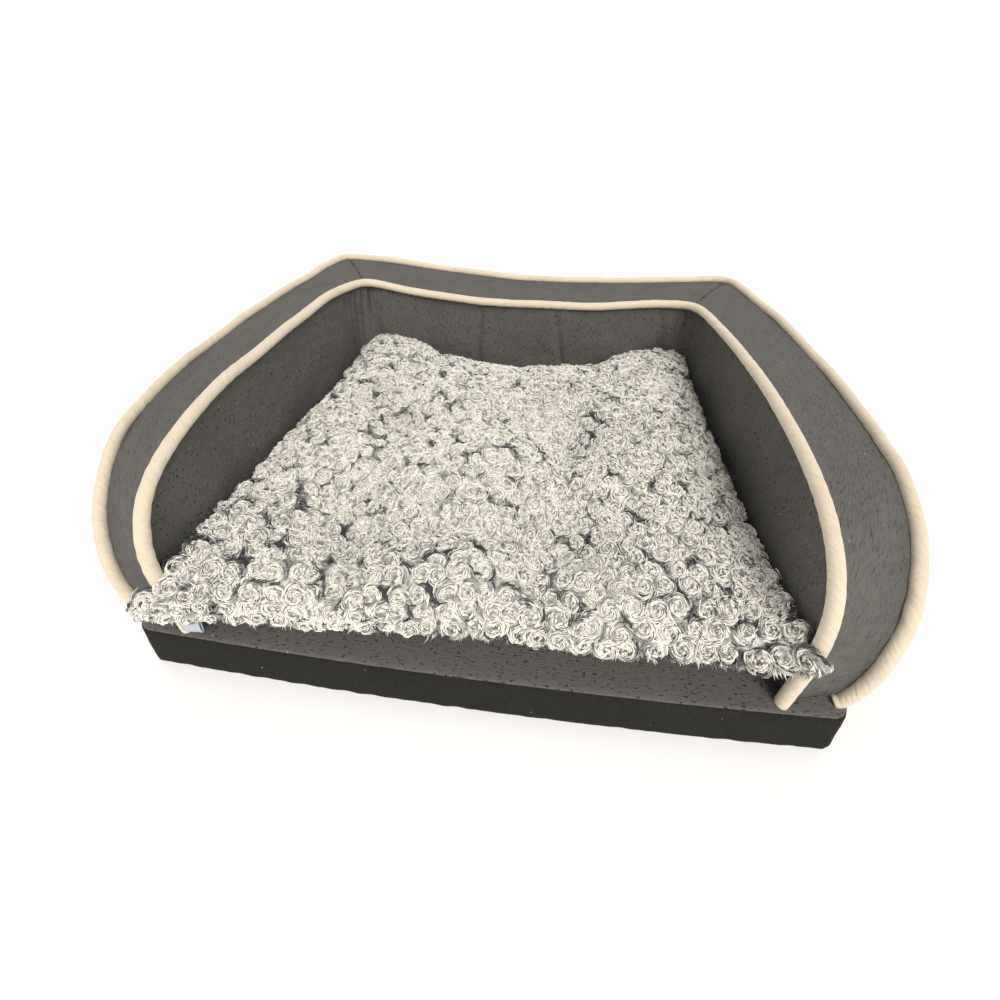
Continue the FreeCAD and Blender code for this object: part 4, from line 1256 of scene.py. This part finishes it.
class Rosettes:
    """Where the rosettes stand on a sheet, how they are turned and how tidy and how grey each is."""

    def __init__(self, sheet, plush, chance):
        u, v = self.shares(sheet, plush.spacing, chance)
        count = len(u)
        self.middle = look_up(sheet, u, v)
        self.up = unit(look_up(outward(sheet), u, v))
        self.side = unit(np.cross((0, 1, 0), self.up))
        self.ahead = np.cross(self.up, self.side)
        self.radius = plush.spacing * 0.56 * chance.uniform(0.88, 1.14, count)
        self.way = np.where(chance.random(count) < 0.8, 1.0, -1.0)
        self.phase = chance.uniform(0, 2 * math.pi, count)
        far = np.clip((self.middle[:, 1] + 0.15) / 0.35, 0, 1)
        self.loose = np.clip(0.25 + 0.35 * ripple(self.middle, 0.08, 71) + 0.35 * far, 0.05, 0.8)
        self.grey = np.clip(0.45 + 0.55 * ripple(self.middle, 0.055, 72), 0, 1)

    def shares(self, sheet, spacing, chance):
        """Shares across and along the sheet for a staggered pattern."""
        across, along = distances(sheet[len(sheet) // 2]), distances(sheet[:, sheet.shape[1] // 2])
        row_count = int(round(along[-1] / (spacing * 0.87)))
        column_count = int(round(across[-1] / spacing))
        u, v = [], []
        for row in range(row_count):
            for column in range(column_count + row % 2):
                u.append((column + 0.5 * (1 - row % 2)) / column_count)
                v.append((row + 0.5) / row_count)
        u = np.array(u) + chance.normal(0, 0.10 / column_count, len(u))
        v = np.array(v) + chance.normal(0, 0.10 / row_count, len(v))
        u, v = np.clip(u, 0.006, 0.994), np.clip(v, 0.006, 0.994)
        u = np.interp(u * across[-1], across, np.linspace(0, 1, len(across)))
        steps = np.linalg.norm(np.diff(sheet, axis=0), axis=-1)
        lengths = np.concatenate([np.zeros((1, sheet.shape[1])), np.cumsum(steps, 0)])
        rows = np.linspace(0, 1, len(sheet))
        columns = np.rint(u * (sheet.shape[1] - 1)).astype(int)
        v = [np.interp(share * lengths[-1, c], lengths[:, c], rows) for share, c in zip(v, columns)]
        return u, np.array(v)

    def around(self, points):
        """The nearest rosette to each point, and the point's place in it as shares of its radius."""
        tree = KDTree(len(self.middle))
        for index, place in enumerate(self.middle):
            tree.insert(place, index)
        tree.balance()
        nearest = np.array([tree.find(point)[1] for point in points])
        away = (points - self.middle[nearest]) / self.radius[nearest, None]
        return nearest, (away * self.side[nearest]).sum(1), (away * self.ahead[nearest]).sum(1)

    def parting_and_painted_shade(self, points, nearest, r):
        """How much the pile is darkened between rosettes and in their middles: the dark roots that show
        where it parts, with painted shade of these hollows.
        """
        patch = np.clip(0.45 + 1.30 * ripple(points, 0.017, 73), 0, 1)
        between = np.clip((r - 0.78) / 0.24, 0, 1) * patch
        middle = np.clip(1.5 - r / 0.16, 0, 1) * self.grey[nearest] * 0.9
        return np.maximum(between, middle)

    def relief(self, points):
        """Height, as a share of the pile, and tone of the dense pile under the curls at some points. The
        tone holds painted shade: lighter on the domes and curl crests, darker low between them.
        """
        nearest, x, y = self.around(points)
        r = np.hypot(x, y)
        turn = np.arctan2(y, x) * self.way[nearest]
        dome = np.clip(1 - r**4, 0, 1) * (1 - 0.45 * np.exp(-((r / 0.2) ** 2)))
        curl = 0.5 + 0.5 * np.cos(2 * turn + 11 * r + self.phase[nearest])
        # Painted shade: the tone follows the height, lighter on domes and curl crests; it is darker again
        # where the pile parts.
        tone = np.clip(0.62 + 0.25 * dome + 0.15 * curl - 0.75 * self.parting_and_painted_shade(points, nearest, r), 0.03, 1)
        return 0.10 + 0.42 * dome + 0.10 * curl * dome, tone

    def curls(self, ring, plush, chance):
        """Strands of one ring of curls in every rosette."""
        part, number, turn, height = ring
        bundle, shape = (len(self.middle), number, 1), (len(self.middle), number, STRANDS_IN_A_CURL)
        rows = (slice(None), None, None)
        loose, grey = self.loose[rows], self.grey[rows]
        start = self.phase[rows] + chance.uniform(-0.12, 0.12, shape)
        curl = np.arange(number)[None, :, None] + chance.uniform(-0.3, 0.3, bundle)
        start = start + curl * math.tau / number
        sweep = self.way[rows] * turn * chance.uniform(0.75, 1.1, bundle) * chance.uniform(0.8, 1.15, shape)
        sweep = sweep * (1 - 0.4 * loose)
        reach = part * chance.uniform(0.88, 1.1, bundle) + chance.uniform(-0.13, 0.13, shape)
        spread = 0.45 * loose * chance.uniform(-1, 1, shape)
        tall = plush.pile * height * chance.uniform(0.82, 1.15, bundle) * chance.uniform(0.8, 1.12, shape)
        tall = tall * (1 + 0.35 * loose)
        t, lift = STRAND_STEPS[:, 0], STRAND_STEPS[:, 1]
        angle = start[..., None] + sweep[..., None] * t
        far = self.radius[(*rows, None)] * (reach[..., None] * (1.08 - 0.26 * t) + spread[..., None] * t)
        out = self.side[:, None, None, None] * np.cos(angle)[..., None]
        out = out + self.ahead[:, None, None, None] * np.sin(angle)[..., None]
        up = self.up[:, None, None, None]
        spines = self.middle[:, None, None, None] + out * far[..., None]
        spines = spines + up * (tall[..., None] * lift)[..., None]
        dark = chance.random(bundle) < 0.04 + 0.14 * grey
        tone = chance.uniform(0.90, 1.0, bundle) * chance.uniform(0.92, 1.0, shape) - 0.5 * dark
        size = tone.size
        return (
            spines.reshape(size, -1, 3), out[..., 1, :].reshape(size, 3),
            np.broadcast_to(up[..., 0, :], (*shape, 3)).reshape(size, 3),
            plush.strand * chance.uniform(0.8, 1.25, size), np.clip(tone, 0, 1).ravel(),
        )

    def strays(self, sheet, plush, chance, each=12):
        """Short strands that lie about at random and fill the gaps between rosettes."""
        count = len(self.middle) * each
        u, v = chance.uniform(0.004, 0.996, (2, count))
        root, up = look_up(sheet, u, v), unit(look_up(outward(sheet), u, v))
        angle = chance.uniform(0, math.tau, (count, 1))
        side = unit(np.cross((0, 1, 0), up))
        aim = side * np.cos(angle) + np.cross(up, side) * np.sin(angle)
        over = np.cross(up, aim)
        t, lift = STRAND_STEPS[:, 0][None, :, None], STRAND_STEPS[:, 1][None, :, None]
        reach = chance.uniform(0.004, 0.008, (count, 1, 1))
        bend = chance.uniform(-0.5, 0.5, (count, 1, 1))
        tall = plush.pile * chance.uniform(0.45, 0.85, (count, 1, 1))
        spines = root[:, None] + aim[:, None] * reach * t + over[:, None] * reach * bend * t**2
        spines = spines + up[:, None] * tall * lift
        tone = chance.uniform(0.7, 1.0, count) - 0.4 * (chance.random(count) < 0.16)
        return spines, over, up, plush.strand * chance.uniform(0.8, 1.2, count), tone


def fringe(sheet, plush, chance):
    """Clumps of strands that hang over the seam all the way round."""
    loop = np.concatenate([sheet[0, :-1], sheet[:-1, -1], sheet[-1, :0:-1], sheet[:0:-1, 0]])
    line = resample(np.concatenate([loop, loop[:1]]), 700)[:-1]
    ahead = unit(np.roll(line, -1, 0) - np.roll(line, 1, 0))
    out = unit(np.cross(ahead, (0, 0, 1)))
    count, each = len(line), 16
    lean = chance.uniform(-0.95, 0.35, (count, 1))
    drift = chance.normal(0, 0.45, (count, 1))
    aim = unit(out + np.array((0, 0, 1.0)) * lean + ahead * drift)
    reach = chance.uniform(0.0050, 0.0092, (count, 1, 1)) * chance.uniform(0.7, 1.1, (count, each, 1))
    aim = aim[:, None] + chance.normal(0, 0.22, (count, each, 3))
    root = line[:, None] + ahead[:, None] * chance.uniform(-0.0025, 0.0025, (count, each, 1))
    root = root - out[:, None] * 0.0020
    root = root + np.array((0, 0, 1.0)) * chance.uniform(-0.0010, 0.0045, (count, each, 1))
    t = STRAND_STEPS[:, 0][:, None]
    swirl = ahead[:, None] * chance.uniform(-0.6, 0.6, (count, 1, 1))
    spines = root[:, :, None] + (aim * reach)[:, :, None] * t
    spines = spines + swirl[:, :, None] * reach[:, :, None] * np.sin(t * 2.6) + (0, 0, -0.0022) * t**2
    size = count * each
    across = np.broadcast_to(ahead[:, None], (count, each, 3)).reshape(size, 3)
    up = unit(np.cross(aim.reshape(size, 3), across))
    tone = chance.uniform(0.8, 1.0, (count, each)) - 0.5 * (chance.random((count, 1)) < 0.16)
    widths = plush.strand * chance.uniform(0.8, 1.2, size)
    return spines.reshape(size, -1, 3), across, up, widths, np.clip(tone, 0, 1).ravel()


class PETBED_OT_plush(bpy.types.Operator):
    """Covers the cushion's top in curled rosettes of pile, with a loose fringe along its seam"""

    bl_idname = "petbed.plush"
    bl_label = "Rosette plush"

    def execute(self, context):
        plush = context.scene.bed_plush
        sheet = cushion_top()
        chance = np.random.default_rng(plush.seed)
        rosettes = Rosettes(sheet, plush, chance)
        material = plush_pile()
        self.dense_pile(sheet, rosettes, plush, material)
        groups = [rosettes.curls(ring, plush, chance) for ring in ROSETTE_RINGS]
        groups.append(rosettes.strays(sheet, plush, chance))
        groups.append(fringe(sheet, plush, chance))
        strands = [np.concatenate(group) for group in zip(*groups)]
        roots = strands[0][:, 0]
        nearest, x, y = rosettes.around(roots)
        # Strands rooted between rosettes and in their middles are darkened: their dark roots, with painted
        # shade of these hollows.
        strands[4] = np.clip(strands[4] - 0.95 * rosettes.parting_and_painted_shade(roots, nearest, np.hypot(x, y)), 0, 1)
        order = np.argsort(strands[0][:, 0, 1], kind="stable")
        pieces = math.ceil(len(order) / STRANDS_IN_A_PIECE)
        for number, chosen in enumerate(np.array_split(order, pieces), start=1):
            mesh = strand_mesh(f"rosette_curls_{number:02}", *(part[chosen] for part in strands))
            self.add_pile(mesh, material)
        return {"FINISHED"}

    def dense_pile(self, sheet, rosettes, plush, material):
        """The close pile from which the curls rise, in two pieces."""
        fine = finer(sheet)
        height, tone = rosettes.relief(fine.reshape(-1, 3))
        rows, columns = fine.shape[:2]
        normal = outward(fine)
        edge = np.minimum(np.arange(rows), np.arange(rows)[::-1])[:, None]
        edge = np.clip(np.minimum(edge, np.minimum(np.arange(columns), np.arange(columns)[::-1])) / 4, 0, 1)
        fine = fine + normal * (height.reshape(rows, columns) * edge * plush.pile)[..., None]
        v, u = np.meshgrid(np.linspace(0, 1, rows), np.linspace(0, 1, columns), indexing="ij")
        tone = tone.reshape(rows, columns)
        half = rows // 2
        for number, band in enumerate((slice(0, half + 1), slice(half, rows)), start=1):
            part = fine[band]
            values = {"along": np.ones(part[..., 0].size), "tone": tone[band].ravel()}
            flat = np.stack([u[band], v[band]], -1).reshape(-1, 2)
            mesh = make_mesh(
                f"dense_pile_{number}", part.reshape(-1, 3), [grid_faces(*part.shape[:2])],
                {"OFBake": flat}, values,
            )
            self.add_pile(mesh, material)

    def add_pile(self, mesh, material):
        piece = bpy.data.objects.new(mesh.name, mesh)
        bpy.context.scene.collection.objects.link(piece)
        mesh.materials.append(material)
        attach(piece, "cushion")


# ---------------------------------------------------------------- care label

# Its left and right side, the Y and height of the seam that holds it, and its folded length.
LABEL_SIDES = (-0.312, -0.290)
LABEL_SEAM = (-0.3585, 0.103)
LABEL_LENGTH = 0.022


class PETBED_OT_label(bpy.types.Operator):
    """Folds the blank care label into the cushion's front seam"""

    bl_idname = "petbed.label"
    bl_label = "Care label"

    def execute(self, context):
        wide = np.linspace(*LABEL_SIDES, 12)[None]
        turn = np.linspace(0, 1, 22)[:, None]
        drop = 1 - np.abs(2 * turn - 1)
        gap = np.where(turn < 0.5, 1, -1) * (0.0012 * np.sin(math.pi * drop) + 0.0005)
        wave = 0.0008 * np.sin(wide * 400)
        points = np.stack(np.broadcast_arrays(
            wide + drop * 0.001,
            LABEL_SEAM[0] - 0.004 * drop - gap,
            LABEL_SEAM[1] + (wave - LABEL_LENGTH) * drop,
        ), -1)
        cloth = np.stack(np.broadcast_arrays(wide, turn * 0.03), -1)
        mesh = grid_mesh("folded_care_label", points, cloth)
        add_piece(mesh, "care_label", "cushion", label_ribbon(), thickness=0.0003)
        return {"FINISHED"}


# ---------------------------------------------------------------- studio

# The camera stands before the open front and looks down into the bed. Angles are in radians, and the
# focal length is a share of the sensor's width.
CAMERA_PLACE = (0.06344, -0.59867, 0.59589)
CAMERA_YAW, CAMERA_PITCH, CAMERA_ROLL = 0.114, 0.627, 0.009
SENSOR = 36.0
FOCAL_SHARE = 0.487
SHIFT = (-0.006, -0.102)
FLOOR_RADIUS = 9.0
FLOOR_RIM = 2.6


class PETBED_OT_studio(bpy.types.Operator):
    """Sets the floor, the soft lights and the camera"""

    bl_idname = "petbed.studio"
    bl_label = "Studio"

    def execute(self, context):
        settings = context.scene.bed_studio
        self.floor(settings)
        self.lights(context, settings)
        self.camera(context)
        context.scene.view_settings.view_transform = "Standard"
        return {"FINISHED"}

    def floor(self, settings):
        """A round floor that curves up far away, so that the camera sees no edge of it."""
        turn = np.linspace(0, math.tau, 97)
        far = np.linspace(0.02, 1, 40)
        radius = FLOOR_RADIUS * far[:, None] * np.ones((1, len(turn)))
        lift = FLOOR_RIM * np.clip((far - 0.5) / 0.5, 0, 1) ** 2.4
        height = np.broadcast_to(lift[:, None] - 0.0002, radius.shape)
        grid = np.stack([radius * np.cos(turn), radius * np.sin(turn), height], -1)
        mesh = grid_mesh("studio_floor", grid[:, ::-1], grid[:, ::-1, :2])
        made, tree, shader = new_material("studio floor", roughness=0.6)
        place = add_node(tree, "ShaderNodeTexCoord", (0, 0))
        nap = place_group(tree, "brushed nap", (300, 0), {
            "Colour": (*settings.floor, 1), "Scale": 3.0, "Depth": 0.02,
        })
        tree.links.new(place.outputs["Object"], nap.inputs["Place"])
        tree.links.new(nap.outputs["Colour"], shader.inputs["Base Color"])
        mesh.materials.append(made)
        floor = bpy.data.objects.new("studio_floor", mesh)
        bpy.context.scene.collection.objects.link(floor)

    def lights(self, context, settings):
        world = bpy.data.worlds.new("studio")
        world.use_nodes = True
        background = world.node_tree.nodes["Background"]
        background.inputs["Color"].default_value = (1.0, 0.99, 0.97, 1)
        background.inputs["Strength"].default_value = settings.fill
        context.scene.world = world
        for name, place, spread, power in (
            ("key", (0.45, -1.0, 1.15), 0.6, settings.key),
            ("back", (-0.6, 0.9, 1.3), 0.9, settings.key * 0.10),
        ):
            light = bpy.data.lights.new(name, "SUN")
            light.energy, light.angle, light.color = power, spread, (1.0, 0.97, 0.92)
            lamp = bpy.data.objects.new(name, light)
            lamp.location = place
            lamp.rotation_euler = (-Vector(place)).to_track_quat("-Z", "Y").to_euler()
            context.scene.collection.objects.link(lamp)

    def camera(self, context):
        forward = Vector((
            -math.sin(CAMERA_YAW) * math.cos(CAMERA_PITCH),
            math.cos(CAMERA_YAW) * math.cos(CAMERA_PITCH),
            -math.sin(CAMERA_PITCH),
        ))
        level = Vector((math.cos(CAMERA_YAW), math.sin(CAMERA_YAW), 0))
        over = level.cross(forward)
        right = level * math.cos(CAMERA_ROLL) + over * math.sin(CAMERA_ROLL)
        up = over * math.cos(CAMERA_ROLL) - level * math.sin(CAMERA_ROLL)
        lens = bpy.data.cameras.new("camera")
        lens.sensor_width = SENSOR
        lens.lens = FOCAL_SHARE * SENSOR
        lens.shift_x, lens.shift_y = SHIFT
        lens.clip_start = 0.01
        camera = bpy.data.objects.new("camera", lens)
        turn = Matrix((right, up, -forward)).transposed()
        camera.matrix_world = Matrix.Translation(CAMERA_PLACE) @ turn.to_4x4()
        context.scene.collection.objects.link(camera)
        context.scene.camera = camera


# ---------------------------------------------------------------- add-on

class PETBED_PT_panel(bpy.types.Panel):
    """Lists the bed's pieces in the order in which they are made"""

    bl_label = "Pet Cushion Bed"
    bl_idname = "PETBED_PT_panel"
    bl_space_type = "VIEW_3D"
    bl_region_type = "UI"
    bl_category = "Pet Bed"

    def draw(self, context):
        for operator in OPERATORS:
            self.layout.operator(operator.bl_idname)
        for name in SETTINGS:
            box = self.layout.box()
            group = getattr(context.scene, name)
            for key in type(group).__annotations__:
                box.prop(group, key)


SETTINGS = {
    "bed_cloth": ClothSettings,
    "bed_bolster": BolsterSettings,
    "bed_piping": PipingSettings,
    "bed_cushion": CushionSettings,
    "bed_plush": PlushSettings,
    "bed_studio": StudioSettings,
}
OPERATORS = (
    PETBED_OT_base,
    PETBED_OT_bolster,
    PETBED_OT_piping,
    PETBED_OT_cushion,
    PETBED_OT_plush,
    PETBED_OT_label,
    PETBED_OT_studio,
)


def register():
    for cls in (*SETTINGS.values(), *OPERATORS, PETBED_PT_panel):
        bpy.utils.register_class(cls)
    for name, group in SETTINGS.items():
        setattr(bpy.types.Scene, name, PointerProperty(type=group))


def unregister():
    for name in SETTINGS:
        delattr(bpy.types.Scene, name)
    for cls in reversed((*SETTINGS.values(), *OPERATORS, PETBED_PT_panel)):
        bpy.utils.unregister_class(cls)


def main():
    register()
    for operator in OPERATORS:
        group, name = operator.bl_idname.split(".")
        getattr(getattr(bpy.ops, group), name)()


if __name__ == "__main__":
    main()
